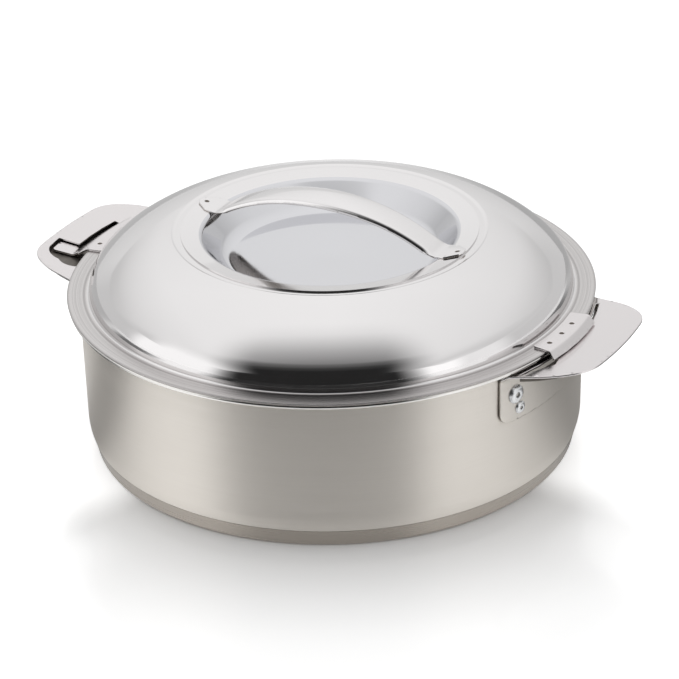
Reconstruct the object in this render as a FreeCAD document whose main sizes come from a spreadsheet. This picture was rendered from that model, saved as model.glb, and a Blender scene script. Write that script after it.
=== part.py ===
"""Double-walled round casserole with a twist-locking steel lid, in millimetres.

The pot stands on z = 0 with its axis on +Z. The two wing handles lie along +X and -X.
"""
import FreeCAD, Part
import math
import os
import Sketcher
from FreeCAD import Placement, Rotation, Vector

# ---------------------------------------------------------------- driving sizes
# Lengths in millimetres, angles in degrees.
SIZES = {
    # pot, outside
    "body_radius": 120.0,        # outer wall just under the rim
    "wall_taper_width": 0.8,           # how much smaller the wall is at its foot
    "rim_top_height": 76.9,             # top of the rolled rim
    "rim_overhang_width": 5.4,         # rim beyond the wall
    "rim_flare_radius": 3.0,            # bend where the wall turns out into its flange
    "shell_thickness": 0.7,
    "foot_height": 16.0,         # where the wall starts to curve in
    "toe_radius": 16.0,          # curve of the shell under the cap
    "foot_curve_radius": 22.0,
    # base cap
    "cap_set_in_width": 2.4,     # upper edge of the cap inside the body's radius
    "cap_height": 8.6,
    "cap_draft_width": 1.5,            # how much the cap narrows towards the floor
    "cap_corner_radius": 2.8,
    "cap_thickness": 0.8,
    "stand_ring_width": 14.0,          # width of the ring that touches the table
    "stand_step_height": 1.2,           # the middle of the cap is lifted by this
    # inner bowl
    "wall_space_width": 12.0,    # from the outer wall to the inside of the bowl's mouth
    "bowl_draft_width": 1.0,
    "bowl_floor_height": 17.0,          # height of the cooking floor
    "bowl_corner_radius": 14.0,
    "bowl_mouth_radius": 3.5,
    "bowl_thickness": 0.7,
    "rim_hem_length": 1.5,              # how far the hem returns under the rim
    # lid
    "lid_gap": 0.35,             # between the rim and the lid's flange
    "lid_thickness": 0.7,
    "lid_overhang_width": 0.4,         # lid flange beyond the rim
    "lid_flange_width": 10.4,    # flat flange outside the dome
    "dome_shoulder_radius": 16.5,
    "dome_turn_angle": 47.0,
    "dome_crown_radius": 63.7,
    "dome_width": 40.4,          # from the foot of the dome to the ledge where it steps down
    "ledge_drop_height": 0.6,
    "ledge_width": 4.5,          # bare ledge outside the cup
    "cup_flange_width": 9.5,     # to where the cup's flange and wall would meet
    "cup_depth": 12.8,           # mouth to the foot of the wall
    "cup_flange_angle": 9.5,
    "cup_wall_angle": 50.6,
    "cup_floor_angle": 1.6,
    "cup_mouth_bend_radius": 4.0,
    "cup_floor_bend_radius": 9.0,
    "cup_thickness": 0.7,
    # lid liner
    "liner_gap": 0.8,            # liner plug inside the bowl
    "liner_thickness": 0.7,
    "liner_depth": 5.5,          # how deep the plug reaches into the bowl
    "liner_corner_radius": 2.8,
    "liner_rise_height": 2.0,           # the middle of the liner is higher by this
    "liner_lip_height": 2.4,
    "running_gap": 0.45,         # between the liner and the rest of the lid
    "foam_gap": 0.15,
    "seat_gap": 0.05,            # between pieces that are welded or riveted together
    # handles
    "handle_thickness": 1.0,
    "flange_gap": 0.1,
    "flange_height": 25.85,      # below the top of the bend
    "flange_corner_radius": 6.0,
    "flange_half_angle": 22.9,
    "wing_bend_radius": 5.0,
    "wing_under_rim_gap": 0.8,       # wing below the hem of the rim
    "wing_slope_angle": 7.6,
    "wing_length": 31.0,         # beyond the body's radius
    "wing_side_length": 10.0,    # straight sides, beyond the body's radius
    "wing_side_angle": 18.06,    # from the handle's axis to the end of a straight side
    "wing_side_radius": 36.5,    # the sides curve in before the corners
    "wing_corner_length": 8.3,     # outer corners start this far inside the reach
    "wing_corner_angle": 14.1,
    "wing_corner_radius": 19.07,
    "wing_end_angle": 8.7,       # to the end of the crowned outer edge
    "wing_end_radius": 215.0,
    # slots
    "slot_offset_width": 6.5,    # from the body's radius to the slots
    "narrow_slot_width": 1.4,
    "leaf_slot_width": 6.1,
    "neck_slot_width": 9.5,
    "window_width": 20.8,
    "window_corner_radius": 9.0,
    "window_nose_radius": 12.6,
    # the same slots, as angles from the handle's own axis
    "leaf_tip_angle": -19.8,           # the right slot opens like a leaf towards the front
    "leaf_wide_angle": -12.0,
    "leaf_end_angle": -9.5,
    "leaf_cut_back_width": 2.5,
    "leaf_bow_radius": 202.0,
    "narrow_end_angle": 18.0,
    "neck_start_angle": -8.7,          # the left slot ends in a window that lets the tongue down
    "window_from_angle": 4.4,
    "window_turn_angle": 8.2,
    "window_side_angle": 12.6,
    "window_to_angle": 14.0,
    "slot_lap_angle": 0.2,             # slots that join overlap by this
    # lugs on the lid
    "lug_thickness": 1.2,
    "lug_foot_gap": 3.0,         # from the dome to the plate
    "lug_overhang_width": 1.5,   # from the lid's flange to the bend
    "lug_half_angle": 9.5,
    "right_lug_angle": -1.5,
    "right_lip_width": 2.7,      # how far the lip leans out
    "left_lip_width": 4.7,
    "lip_gap": 0.5,        # lip above the wing
    "tongue_length": 10.4,       # beyond the neck slot
    "tongue_from_angle": 4.7,
    "tongue_to_angle": 8.2,
    "tongue_gap": 0.5,     # tongue below the wing
    "tongue_slot_gap": 0.6,     # the tongue's bend is this far inside the slot
    # closing pans under the wings
    "keeper_thickness": 0.6,
    "keeper_gap": 0.5,                 # pan's floor below the tongue
    "keeper_inset_width": 3.4,         # pan inside the wing's sides
    "left_pan_inset_width": 2.5,       # pan inside the wing's end
    "right_pan_inset_width": 9.3,
    "keeper_half_angle": 20.1,
    # rivets
    "rivet_head_radius": 4.6,
    "rivet_shank_radius": 2.4,
    "rivet_angle": 18.2,
    "rivet_height": 13.3,        # above the flange's lower edge
    "stud_head_radius": 3.1,
    "stud_shank_radius": 1.6,
    "stud_angle": 16.9,
    "stud_height": 5.6,
    "rivet_crown_share": 0.55,         # top of a head, as a share of its radius
    "rivet_rise_share": 0.35,
    "rivet_bore_share": 0.5,           # as a share of the shank
    "pin_rise_share": 0.2,
    "rivet_bulb_width": 1.0,           # bulb beyond the shank
    "bulb_length": 4.0,
    # strap handle
    "strap_rise_height": 16.8,   # arch above its feet
    "strap_set_in_width": 3.7,   # where the arch would meet the feet, inside the cup's mouth
    "strap_thickness": 1.2,
    "strap_half_width": 9.5,
    "strap_foot_half_width": 7.5,
    "strap_tip_half_width": 3.0,
    "strap_tip_length": 6.5,
    "strap_overhang_length": 0.3,    # tips beyond the cup's flange
    "strap_crown_height": 2.6,
    "strap_foot_crown_height": 0.25,
    "strap_bend_radius": 5.0,
    # spot welds
    "weld_radius": 1.6,
    "weld_floor_radius": 0.65,
    "weld_depth": 0.45,
    "weld_start_angle": -6.2,          # angles from the middle of the right lug
    "weld_pitch_angle": 5.25,
    "left_weld_angle": 5.9,
    "strap_weld_length": 3.5,    # from a foot's tip
}

doc = FreeCAD.newDocument("casserole")
sheet = doc.addObject("Spreadsheet::Sheet", "Sizes")
for row, (alias, value) in enumerate(SIZES.items(), start=1):
    sheet.set("A%d" % row, alias)
    sheet.set("B%d" % row, str(value))
    sheet.setAlias("B%d" % row, alias)
doc.recompute()


class Size:
    """A value and the spreadsheet expression that it comes from."""

    def __init__(self, value, text):
        self.value = value
        self.text = text

    def join(self, other, sign, value):
        return Size(value, "(%s %s %s)" % (self.text, sign, other.text))

    def __add__(self, other):
        other = as_size(other)
        return self.join(other, "+", self.value + other.value)

    def __sub__(self, other):
        other = as_size(other)
        return self.join(other, "-", self.value - other.value)

    def __mul__(self, other):
        other = as_size(other)
        return self.join(other, "*", self.value * other.value)

    def __truediv__(self, other):
        other = as_size(other)
        return self.join(other, "/", self.value / other.value)

    def __rsub__(self, other):
        return as_size(other) - self

    __radd__ = __add__
    __rmul__ = __mul__


def as_size(number):
    return number if isinstance(number, Size) else Size(float(number), "%r" % float(number))


def size(alias):
    return Size(SIZES[alias], "Sizes.%s" % alias)


def cosine(angle):
    angle = as_size(angle)
    return Size(math.cos(math.radians(angle.value)), "cos(%s * 1 deg)" % angle.text)


def sine(angle):
    angle = as_size(angle)
    return Size(math.sin(math.radians(angle.value)), "sin(%s * 1 deg)" % angle.text)


def tangent(angle):
    angle = as_size(angle)
    return Size(math.tan(math.radians(angle.value)), "tan(%s * 1 deg)" % angle.text)


def root(number):
    return Size(math.sqrt(number.value), "sqrt(%s)" % number.text)


# ---------------------------------------------------------------- sketches
class Bow:
    """Marks the edge before a corner as an arc. side is +1 for a centre left of the walk."""

    def __init__(self, radius, side):
        self.radius = as_size(radius)
        self.side = side


def half_round(radius, side):
    """A full half turn, a hair flatter, so that the solver has one answer."""
    flatter = 1.0005
    return Bow(radius * flatter, side)


def arc_between(start, end, radius, side):
    """The short arc between two points, run anticlockwise, with its centre on the given side."""
    chord = end - start
    half = chord.Length / 2
    normal = Vector(-chord.y, chord.x, 0).normalize() * side
    centre = start + chord / 2 + normal * math.sqrt(max(radius ** 2 - half ** 2, 0))
    first, last = (start, end) if side > 0 else (end, start)
    from_angle = math.atan2(first.y - centre.y, first.x - centre.x)
    to_angle = math.atan2(last.y - centre.y, last.x - centre.x)
    if to_angle < from_angle:
        to_angle += 2 * math.pi
    return Part.ArcOfCircle(Part.Circle(centre, Vector(0, 0, 1), radius), from_angle, to_angle)


def draw_outline(sketch, outline):
    """Close an outline of (x, y) sizes, each tied to the sheet. A Bow comes before its end corner."""
    corners = []
    bows = []
    bow = None
    for item in outline:
        if isinstance(item, Bow):
            bow = item
            continue
        corners.append((as_size(item[0]), as_size(item[1])))
        bows.append(bow)
        bow = None
    if bow is not None:
        bows[0] = bow
    points = [Vector(x.value, y.value, 0) for x, y in corners]
    count = len(points)
    ends = []
    for index in range(count):
        start = points[index]
        end = points[(index + 1) % count]
        bow = bows[(index + 1) % count]
        if bow is None:
            sketch.addGeometry(Part.LineSegment(start, end), False)
        else:
            sketch.addGeometry(arc_between(start, end, bow.radius.value, bow.side), False)
        ends.append((2, 1) if bow is not None and bow.side < 0 else (1, 2))
    rules = []
    bound = []
    for index in range(count):
        after = (index + 1) % count
        rules.append(Sketcher.Constraint("Coincident", index, ends[index][1], after, ends[after][0]))
    for index, (x, y) in enumerate(corners):
        for kind, across, axis in (("DistanceX", x, -2), ("DistanceY", y, -1)):
            if across.value == 0:
                rules.append(Sketcher.Constraint("PointOnObject", index, ends[index][0], axis))
                continue
            bound.append((len(rules), across.text))
            rules.append(Sketcher.Constraint(kind, -1, 1, index, ends[index][0], across.value))
        bow = bows[(index + 1) % count]
        if bow is not None:
            bound.append((len(rules), bow.radius.text))
            rules.append(Sketcher.Constraint("Radius", index, bow.radius.value))
    sketch.addConstraint(rules)
    for number, text in bound:
        sketch.setExpression("Constraints[%d]" % number, text)


def walked_back(outline):
    """The same corners and bows in the other direction."""
    return [Bow(item.radius, -item.side) if isinstance(item, Bow) else item for item in reversed(outline)]


def body_plane(body, role):
    return [plane for plane in body.Origin.OriginFeatures if plane.Role == role][0]


def turned(name, outline):
    """A PartDesign body turned about Z from an outline of (radius, height)."""
    body = doc.addObject("PartDesign::Body", name + "_body")
    sketch = body.newObject("Sketcher::SketchObject", name + "_outline")
    sketch.AttachmentSupport = [(body_plane(body, "XZ_Plane"), "")]
    sketch.MapMode = "FlatFace"
    draw_outline(sketch, outline)
    turn = body.newObject("PartDesign::Revolution", name + "_turn")
    turn.Profile = sketch
    turn.ReferenceAxis = (sketch, ["V_Axis"])
    turn.Angle = 360
    sketch.Visibility = False
    body.Tip = turn
    return body


STANDING = Placement(Vector(), Rotation(Vector(1, 0, 0), 90))


def sector(name, outline, start, end):
    """An outline of (radius, height) turned about Z from one angle to another."""
    start = as_size(start)
    end = as_size(end)
    sketch = doc.addObject("Sketcher::SketchObject", name + "_outline")
    sketch.Placement = STANDING
    draw_outline(sketch, outline)
    turn = doc.addObject("Part::Revolution", name)
    turn.Source = sketch
    turn.Axis = (0, 0, 1)
    turn.Base = (0, 0, 0)
    turn.Solid = True
    turn.Symmetric = False
    turn.setExpression("Angle", (end - start).text)
    turn.setExpression("Placement.Rotation.Angle", start.text)
    turn.Placement = Placement(Vector(), Rotation(Vector(0, 0, 1), start.value))
    return turn


def prism(name, outline, bottom, top):
    """An outline of (x, y) raised from one height to another."""
    sketch = doc.addObject("Sketcher::SketchObject", name + "_outline")
    draw_outline(sketch, outline)
    sketch.setExpression("Placement.Base.z", as_size(bottom).text)
    block = doc.addObject("Part::Extrusion", name)
    block.Base = sketch
    block.DirMode = "Custom"
    block.Dir = (0, 0, 1)
    block.Solid = True
    block.setExpression("LengthFwd", (as_size(top) - bottom).text)
    return block


def cut(name, base, tools):
    tool = tools[0]
    if len(tools) > 1:
        tool = doc.addObject("Part::MultiFuse", name + "_tools")
        tool.Shapes = tools
    result = doc.addObject("Part::Cut", name)
    result.Base = base
    result.Tool = tool
    return result


def common(name, base, tool):
    result = doc.addObject("Part::Common", name)
    result.Base = base
    result.Tool = tool
    return result


def fuse(name, pieces):
    result = doc.addObject("Part::MultiFuse", name)
    result.Shapes = pieces
    return result


def group(name, pieces):
    """Separate solids kept in one node."""
    result = doc.addObject("Part::Compound", name)
    result.Links = pieces
    return result


nodes = []


def keep(name, feature):
    """Label a finished sub-part with the name of its file."""
    feature.Label = name
    nodes.append(feature)
    return feature


# ---------------------------------------------------------------- shared heights and radii
body_radius = size("body_radius")
foot_radius = body_radius - size("wall_taper_width")
rim_radius = body_radius + size("rim_overhang_width")
rim_top = size("rim_top_height")
shell_sheet = size("shell_thickness")
bowl_sheet = size("bowl_thickness")
hair = size("foam_gap")
seat_gap = size("seat_gap")
hem_half = (bowl_sheet * 2 + shell_sheet + hair) / 2    # half the height of the rolled rim
rim_middle = rim_top - hem_half
shell_flange_top = rim_middle + shell_sheet / 2
shell_flange_low = rim_middle - shell_sheet / 2
flare = size("rim_flare_radius")
wall_top = shell_flange_low - flare
rim_underside = rim_middle - hem_half
cap_radius = body_radius - size("cap_set_in_width")
cap_top = size("cap_height")
shell_floor = size("stand_step_height") + size("cap_thickness") + hair

# ---------------------------------------------------------------- outer shell
# A drawn wall whose upper edge turns out into a flange, stepped in at the foot for the base cap.
step_radius = cap_radius - size("cap_thickness") - hair
toe = size("toe_radius")
shell_bottom_radius = cap_radius - size("cap_draft_width") - toe / 2
outer_shell_outline = [
    (0, shell_floor),
    (shell_bottom_radius, shell_floor),
    Bow(toe, 1),
    (step_radius, cap_top),
    (cap_radius, cap_top + hair),
    Bow(size("foot_curve_radius"), 1),
    (foot_radius, size("foot_height")),
    (body_radius, wall_top),
    Bow(flare, -1),
    (body_radius + flare, shell_flange_low),
    (rim_radius - hem_half, shell_flange_low),
    (rim_radius - hem_half, shell_flange_top),
    (body_radius + flare, shell_flange_top),
    Bow(flare + shell_sheet, 1),
    (body_radius - shell_sheet, wall_top),
    (foot_radius - shell_sheet, size("foot_height")),
    Bow(size("foot_curve_radius"), -1),
    (step_radius - shell_sheet, cap_top + hair),
    Bow(toe - shell_sheet, -1),
    (shell_bottom_radius, shell_floor + shell_sheet),
    (0, shell_floor + shell_sheet),
]
shell_blank = turned("outer_shell", outer_shell_outline)

# ---------------------------------------------------------------- inner bowl
# Its mouth turns out over the shell's flange and is hemmed around it, which makes the rolled rim.
bowl_radius = body_radius - size("wall_space_width")
bowl_low_radius = bowl_radius - size("bowl_draft_width")
bowl_floor = size("bowl_floor_height")
bowl_corner = size("bowl_corner_radius")
bowl_mouth = size("bowl_mouth_radius")
inner_bowl_outline = [
    (0, bowl_floor),
    (bowl_low_radius - bowl_corner, bowl_floor),
    Bow(bowl_corner, 1),
    (bowl_low_radius, bowl_floor + bowl_corner),
    (bowl_radius, rim_top - bowl_mouth),
    Bow(bowl_mouth, -1),
    (bowl_radius + bowl_mouth, rim_top),
    (rim_radius - hem_half, rim_top),
    half_round(hem_half, -1),
    (rim_radius - hem_half, rim_underside),
    (rim_radius - hem_half - size("rim_hem_length"), rim_underside),
    (rim_radius - hem_half - size("rim_hem_length"), rim_underside + bowl_sheet),
    (rim_radius - hem_half + hair / 2, rim_underside + bowl_sheet),
    half_round(hem_half - bowl_sheet, 1),
    (rim_radius - hem_half + hair / 2, rim_top - bowl_sheet),
    (bowl_radius + bowl_mouth, rim_top - bowl_sheet),
    Bow(bowl_mouth - bowl_sheet, 1),
    (bowl_radius + bowl_sheet, rim_top - bowl_mouth),
    (bowl_low_radius + bowl_sheet, bowl_floor + bowl_corner),
    Bow(bowl_corner + bowl_sheet, -1),
    (bowl_low_radius - bowl_corner, bowl_floor - bowl_sheet),
    (0, bowl_floor - bowl_sheet),
]
keep("inner_bowl", turned("inner_bowl", inner_bowl_outline))

# ---------------------------------------------------------------- base cap
# A pressed cap over the foot of the shell. It stands on a flat ring, and its middle is lifted.
cap_low_radius = cap_radius - size("cap_draft_width")
cap_corner = size("cap_corner_radius")
cap_sheet = size("cap_thickness")
ring_outer = cap_low_radius - cap_corner
ring_inner = ring_outer - size("stand_ring_width")
base_cap_outline = [
    (0, size("stand_step_height")),
    (ring_inner, size("stand_step_height")),
    (ring_inner + size("stand_step_height"), 0),
    (ring_outer, 0),
    Bow(cap_corner, 1),
    (cap_low_radius, cap_corner),
    (cap_radius, cap_top),
    (cap_radius - cap_sheet, cap_top),
    (cap_low_radius - cap_sheet, cap_corner),
    Bow(cap_corner - cap_sheet, -1),
    (ring_outer, cap_sheet),
    (ring_inner + size("stand_step_height") + cap_sheet / 2, cap_sheet),
    (ring_inner + cap_sheet / 2, size("stand_step_height") + cap_sheet),
    (0, size("stand_step_height") + cap_sheet),
]
keep("base_cap", turned("base_cap", base_cap_outline))

# ---------------------------------------------------------------- pot insulation
# Foam that fills the space between the bowl and the shell.
foam_foot = shell_bottom_radius - size("bowl_corner_radius") / 2
pot_foam_outline = [
    (0, shell_floor + shell_sheet + hair),
    (foam_foot, shell_floor + shell_sheet + hair),
    (step_radius - shell_sheet * 3, cap_top + shell_sheet * 2),
    (foot_radius - shell_sheet * 2, size("foot_height")),
    (body_radius - shell_sheet - hair, wall_top),
    (body_radius - shell_sheet - hair, rim_top - bowl_sheet - hair - shell_sheet),
    (bowl_radius + bowl_mouth, rim_top - bowl_sheet - hair - shell_sheet),
    (bowl_radius + bowl_sheet + hair, rim_top - bowl_mouth),
    (bowl_low_radius + bowl_sheet + hair, bowl_floor + bowl_corner),
    Bow(bowl_corner + bowl_sheet + hair, -1),
    (bowl_low_radius - bowl_corner, bowl_floor - bowl_sheet - hair),
    (0, bowl_floor - bowl_sheet - hair),
]
pot_foam_blank = turned("pot_insulation", pot_foam_outline)

# ---------------------------------------------------------------- lid cover
# The polished dome and its flange are one sheet. A ledge around the middle carries the cup.
lid_sheet = size("lid_thickness")
flange_low = rim_top + size("lid_gap")
flange_top = flange_low + lid_sheet
lid_radius = rim_radius + size("lid_overhang_width")
dome_radius = lid_radius - size("lid_flange_width")
shoulder = size("dome_shoulder_radius")
crown = size("dome_crown_radius")
turn_angle = size("dome_turn_angle")
dome_base = flange_top
shoulder_x = dome_radius - shoulder
crown_x = shoulder_x + (shoulder - crown) * cosine(turn_angle)
crown_z = dome_base + (shoulder - crown) * sine(turn_angle)
join_x = shoulder_x + shoulder * cosine(turn_angle)
join_z = dome_base + shoulder * sine(turn_angle)
inner_join_x = join_x - lid_sheet * cosine(turn_angle)
inner_join_z = join_z - lid_sheet * sine(turn_angle)
ledge_radius = dome_radius - size("dome_width")
ledge_run = ledge_radius - crown_x
ledge_edge = crown_z + root(crown * crown - ledge_run * ledge_run)
inner_ledge_run = ledge_radius + lid_sheet - crown_x
inner_crown = crown - lid_sheet
inner_ledge_edge = crown_z + root(inner_crown * inner_crown - inner_ledge_run * inner_ledge_run)
ledge_top = ledge_edge - size("ledge_drop_height")
cup_radius = ledge_radius - size("ledge_width")
cup_mouth = cup_radius - size("cup_flange_width")
cup_sheet = size("cup_thickness")
flange_slope = size("cup_flange_angle")
mouth_bend = size("cup_mouth_bend_radius")
ledge_hole = cup_mouth + mouth_bend
hole_fall = (cup_radius - ledge_hole) * tangent(flange_slope)
lid_cover_outline = [
    (dome_radius - lid_sheet, flange_low),
    (lid_radius - lid_sheet / 2, flange_low),
    half_round(lid_sheet / 2, 1),
    (lid_radius - lid_sheet / 2, flange_top),
    (dome_radius, flange_top),
    Bow(shoulder, 1),
    (join_x, join_z),
    Bow(crown, 1),
    (ledge_radius, ledge_edge),
    (ledge_radius - size("ledge_drop_height") * 2, ledge_top),
    (cup_radius, ledge_top),
    (ledge_hole, ledge_top - hole_fall),
    (ledge_hole, ledge_top - hole_fall - lid_sheet),
    (cup_radius, ledge_top - lid_sheet),
    (ledge_radius - size("ledge_drop_height") * 2, ledge_top - lid_sheet),
    (ledge_radius + lid_sheet, inner_ledge_edge),
    Bow(inner_crown, -1),
    (inner_join_x, inner_join_z),
    Bow(shoulder - lid_sheet, -1),
    (dome_radius - lid_sheet, flange_top),
]
keep("lid_cover", turned("lid_cover", lid_cover_outline))

# ---------------------------------------------------------------- recess cup
# A pressed dish in the middle of the lid, which makes room for fingers under the strap.
wall_slope = size("cup_wall_angle")
floor_slope = size("cup_floor_angle")
floor_bend = size("cup_floor_bend_radius")
cup_flange_top = ledge_top + cup_sheet / cosine(flange_slope)
mouth_top = cup_flange_top - (cup_radius - cup_mouth) * tangent(flange_slope)
foot_x = cup_mouth - size("cup_depth") / tangent(wall_slope)
foot_z = mouth_top - size("cup_depth")
cup_middle = foot_z - foot_x * tangent(floor_slope)
mouth_reach = mouth_bend * tangent((wall_slope - flange_slope) / 2)
foot_reach = floor_bend * tangent((wall_slope - floor_slope) / 2)
flange_length = (cup_radius - cup_mouth) / cosine(flange_slope)


def on_slope(x, z, along, angle, below):
    """The point that lies along a slope from (x, z), and below its surface."""
    return (x + along * cosine(angle) + below * sine(angle), z + along * sine(angle) - below * cosine(angle))


def cup_surface(below):
    """The cup's profile from its middle to its edge, at a depth under the upper face."""
    below = as_size(below)
    return [
        (0, cup_middle - below / cosine(floor_slope)),
        on_slope(foot_x, foot_z, foot_reach * -1, floor_slope, below),
        Bow(floor_bend + below, 1),
        on_slope(foot_x, foot_z, foot_reach, wall_slope, below),
        on_slope(cup_mouth, mouth_top, mouth_reach * -1, wall_slope, below),
        Bow(mouth_bend - below, -1),
        on_slope(cup_mouth, mouth_top, mouth_reach, flange_slope, below),
        on_slope(cup_mouth, mouth_top, flange_length, flange_slope, below),
    ]


keep("recess_cup", turned("recess_cup", cup_surface(0) + walked_back(cup_surface(cup_sheet))))

# ---------------------------------------------------------------- lid liner
# The underside of the lid. Its plug drops into the mouth of the bowl and centres the lid.
liner_sheet = size("liner_thickness")
liner_corner = size("liner_corner_radius")
running_gap = size("running_gap")
plug_radius = bowl_radius - size("liner_gap")
liner_low = rim_top - size("liner_depth")
liner_edge = dome_radius - lid_sheet - running_gap
liner_shelf = flange_low + hair
lid_liner_outline = [
    (0, liner_low + size("liner_rise_height")),
    (plug_radius - liner_corner, liner_low),
    Bow(liner_corner, 1),
    (plug_radius, liner_low + liner_corner),
    (plug_radius, liner_shelf),
    (liner_edge, liner_shelf),
    (liner_edge, liner_shelf + size("liner_lip_height")),
    (liner_edge - liner_sheet, liner_shelf + size("liner_lip_height")),
    (liner_edge - liner_sheet, liner_shelf + liner_sheet),
    (plug_radius - liner_sheet, liner_shelf + liner_sheet),
    (plug_radius - liner_sheet, liner_low + liner_corner),
    Bow(liner_corner - liner_sheet, -1),
    (plug_radius - liner_corner, liner_low + liner_sheet),
    (0, liner_low + size("liner_rise_height") + liner_sheet),
]
keep("lid_liner", turned("lid_liner", lid_liner_outline))

# ---------------------------------------------------------------- lid insulation
# Foam between the dome, the cup and the liner. It is bonded to the dome.
foam_out = shoulder - lid_sheet - hair
foam_crown = crown - lid_sheet - hair
foam_run = ledge_radius - crown_x
foam_low = liner_shelf + size("liner_lip_height") + running_gap
foam_low_run = foam_low - dome_base
foam_low_x = shoulder_x + root(foam_out * foam_out - foam_low_run * foam_low_run)
foam_ledge = ledge_top - lid_sheet - hair
lid_foam_outline = [
    (0, liner_low + size("liner_rise_height") + liner_sheet + running_gap),
    (plug_radius - liner_sheet - liner_corner, liner_low + liner_corner),
    (plug_radius - liner_sheet - running_gap, liner_shelf + liner_sheet + running_gap),
    (liner_edge - liner_sheet - running_gap, foam_low),
    (foam_low_x, foam_low),
    Bow(foam_out, 1),
    (shoulder_x + foam_out * cosine(turn_angle), dome_base + foam_out * sine(turn_angle)),
    Bow(foam_crown, 1),
    (ledge_radius + lid_sheet * 2, crown_z + root(
        foam_crown * foam_crown - (foam_run + lid_sheet * 2) * (foam_run + lid_sheet * 2))),
    (ledge_radius - size("ledge_drop_height") * 2, foam_ledge),
] + walked_back(cup_surface(cup_sheet + lid_sheet + hair))
keep("lid_insulation", turned("lid_insulation", lid_foam_outline))

# ---------------------------------------------------------------- wing handles
# Each handle is one pressed sheet: a curved flange riveted to the wall, bent out into a wing.
flange_inner = body_radius + size("flange_gap")
sheet_metal = size("handle_thickness")
wing_bend = size("wing_bend_radius")
slope = size("wing_slope_angle")
bend_top = rim_underside - size("wing_under_rim_gap")
bend_x = flange_inner + wing_bend - wing_bend * sine(slope)
bend_start = bend_top - wing_bend * cosine(slope)
OVERCUT = 1.0    # cutting tools pass the surface by this
wing_reach = body_radius + size("wing_length")
wing_far = wing_reach + size("wing_corner_radius")
flange_bottom = bend_top - size("flange_height")
rise_rate = sine(slope) / cosine(slope)


def wing_top(radius):
    """Height of the wing's upper face at a radius."""
    return bend_top + (radius - bend_x) * rise_rate


under_bend = wing_bend - sheet_metal
under_x = flange_inner + wing_bend - under_bend * sine(slope)
under_z = bend_start + under_bend * cosine(slope)
bracket_outline = [
    (flange_inner, flange_bottom),
    (flange_inner + sheet_metal, flange_bottom),
    (flange_inner + sheet_metal, bend_start),
    Bow(under_bend, -1),
    (under_x, under_z),
    (wing_far, wing_top(wing_far) - sheet_metal / cosine(slope)),
    (wing_far, wing_top(wing_far)),
    (bend_x, bend_top),
    Bow(wing_bend, 1),
    (flange_inner, bend_start),
]
flange_angle = size("flange_half_angle")
root_x = flange_inner * cosine(flange_angle)
wing_root = (flange_inner + sheet_metal) * sine(flange_angle) + hair
side_x = body_radius + size("wing_side_length")
side_half = side_x * tangent(size("wing_side_angle"))
side_radius = size("wing_side_radius")
corner_x = wing_reach - size("wing_corner_length")
wing_half = corner_x * tangent(size("wing_corner_angle"))
end_half = wing_reach * tangent(size("wing_end_angle"))
end_back = wing_reach - (end_half * end_half) / (size("wing_end_radius") * 2)
wing_corner = size("wing_corner_radius")
end_radius = size("wing_end_radius")
wing_plan = [
    (0, wing_root * -1),
    (root_x, wing_root * -1),
    (side_x, side_half * -1),
    Bow(side_radius, 1),
    (corner_x, wing_half * -1),
    Bow(wing_corner, 1),
    (end_back, end_half * -1),
    Bow(end_radius, 1),
    (end_back, end_half),
    Bow(wing_corner, 1),
    (corner_x, wing_half),
    Bow(side_radius, 1),
    (side_x, side_half),
    (root_x, wing_root),
    (0, wing_root),
]


def polar(radius, angle):
    """A plan point at a radius and an angle from +X."""
    return (as_size(radius) * cosine(angle), as_size(radius) * sine(angle))


def ring_slot(inner, outer, start, end):
    """Plan outline of a curved slot between two radii and two angles."""
    return [
        polar(inner, start),
        polar(outer, start),
        Bow(outer, 1),
        polar(outer, end),
        polar(inner, end),
        Bow(inner, -1),
    ]


slot_inner = body_radius + size("slot_offset_width")
slot_outer = slot_inner + size("neck_slot_width")
slot_wide = slot_inner + size("leaf_slot_width")
slot_lap = size("slot_lap_angle")
leaf_end = size("leaf_end_angle")
leaf_slot = [
    polar(slot_inner, size("leaf_tip_angle")),
    Bow(size("leaf_bow_radius"), 1),
    polar(slot_wide, size("leaf_wide_angle")),
    polar(slot_wide - size("leaf_cut_back_width"), leaf_end),
    polar(slot_inner, leaf_end),
    Bow(slot_inner, -1),
]
narrow_outer = slot_inner + size("narrow_slot_width")
narrow_slot = ring_slot(slot_inner, narrow_outer, leaf_end - slot_lap, size("narrow_end_angle"))
window_from = size("window_from_angle")
neck_slot = ring_slot(slot_inner, slot_outer, size("neck_start_angle"), window_from + slot_lap)
window_outer = slot_inner + size("window_width")
window_slot = [
    polar(slot_inner, window_from),
    polar(window_outer, window_from),
    Bow(window_outer, 1),
    polar(window_outer, size("window_turn_angle")),
    Bow(size("window_nose_radius"), 1),
    polar(window_outer - size("window_corner_radius"), size("window_side_angle")),
    Bow(size("window_corner_radius"), 1),
    polar(slot_inner, size("window_to_angle")),
    Bow(slot_inner, -1),
]
TURN_BACK = Placement(Vector(), Rotation(Vector(0, 0, 1), 180))


def rivet_spots():
    """Angle, height, head radius and shank radius of each rivet of one handle."""
    spots = []
    rivet_z = flange_bottom + size("rivet_height")
    stud_z = flange_bottom + size("stud_height")
    for side in (-1, 1):
        rivet_angle = size("rivet_angle") * side
        stud_angle = size("stud_angle") * side
        spots.append((rivet_angle, rivet_z, size("rivet_head_radius"), size("rivet_shank_radius")))
        spots.append((stud_angle, stud_z, size("stud_head_radius"), size("stud_shank_radius")))
    return spots


def radial(angle, height, radius):
    """A placement whose local Z points outwards from the pot at a place on its wall."""
    facing = Rotation(Vector(0, 0, 1), angle.value).multiply(Rotation(Vector(0, 1, 0), 90))
    out = Rotation(Vector(0, 0, 1), angle.value).multVec(Vector(radius.value, 0, 0))
    return Placement(out + Vector(0, 0, height.value), facing)


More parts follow.
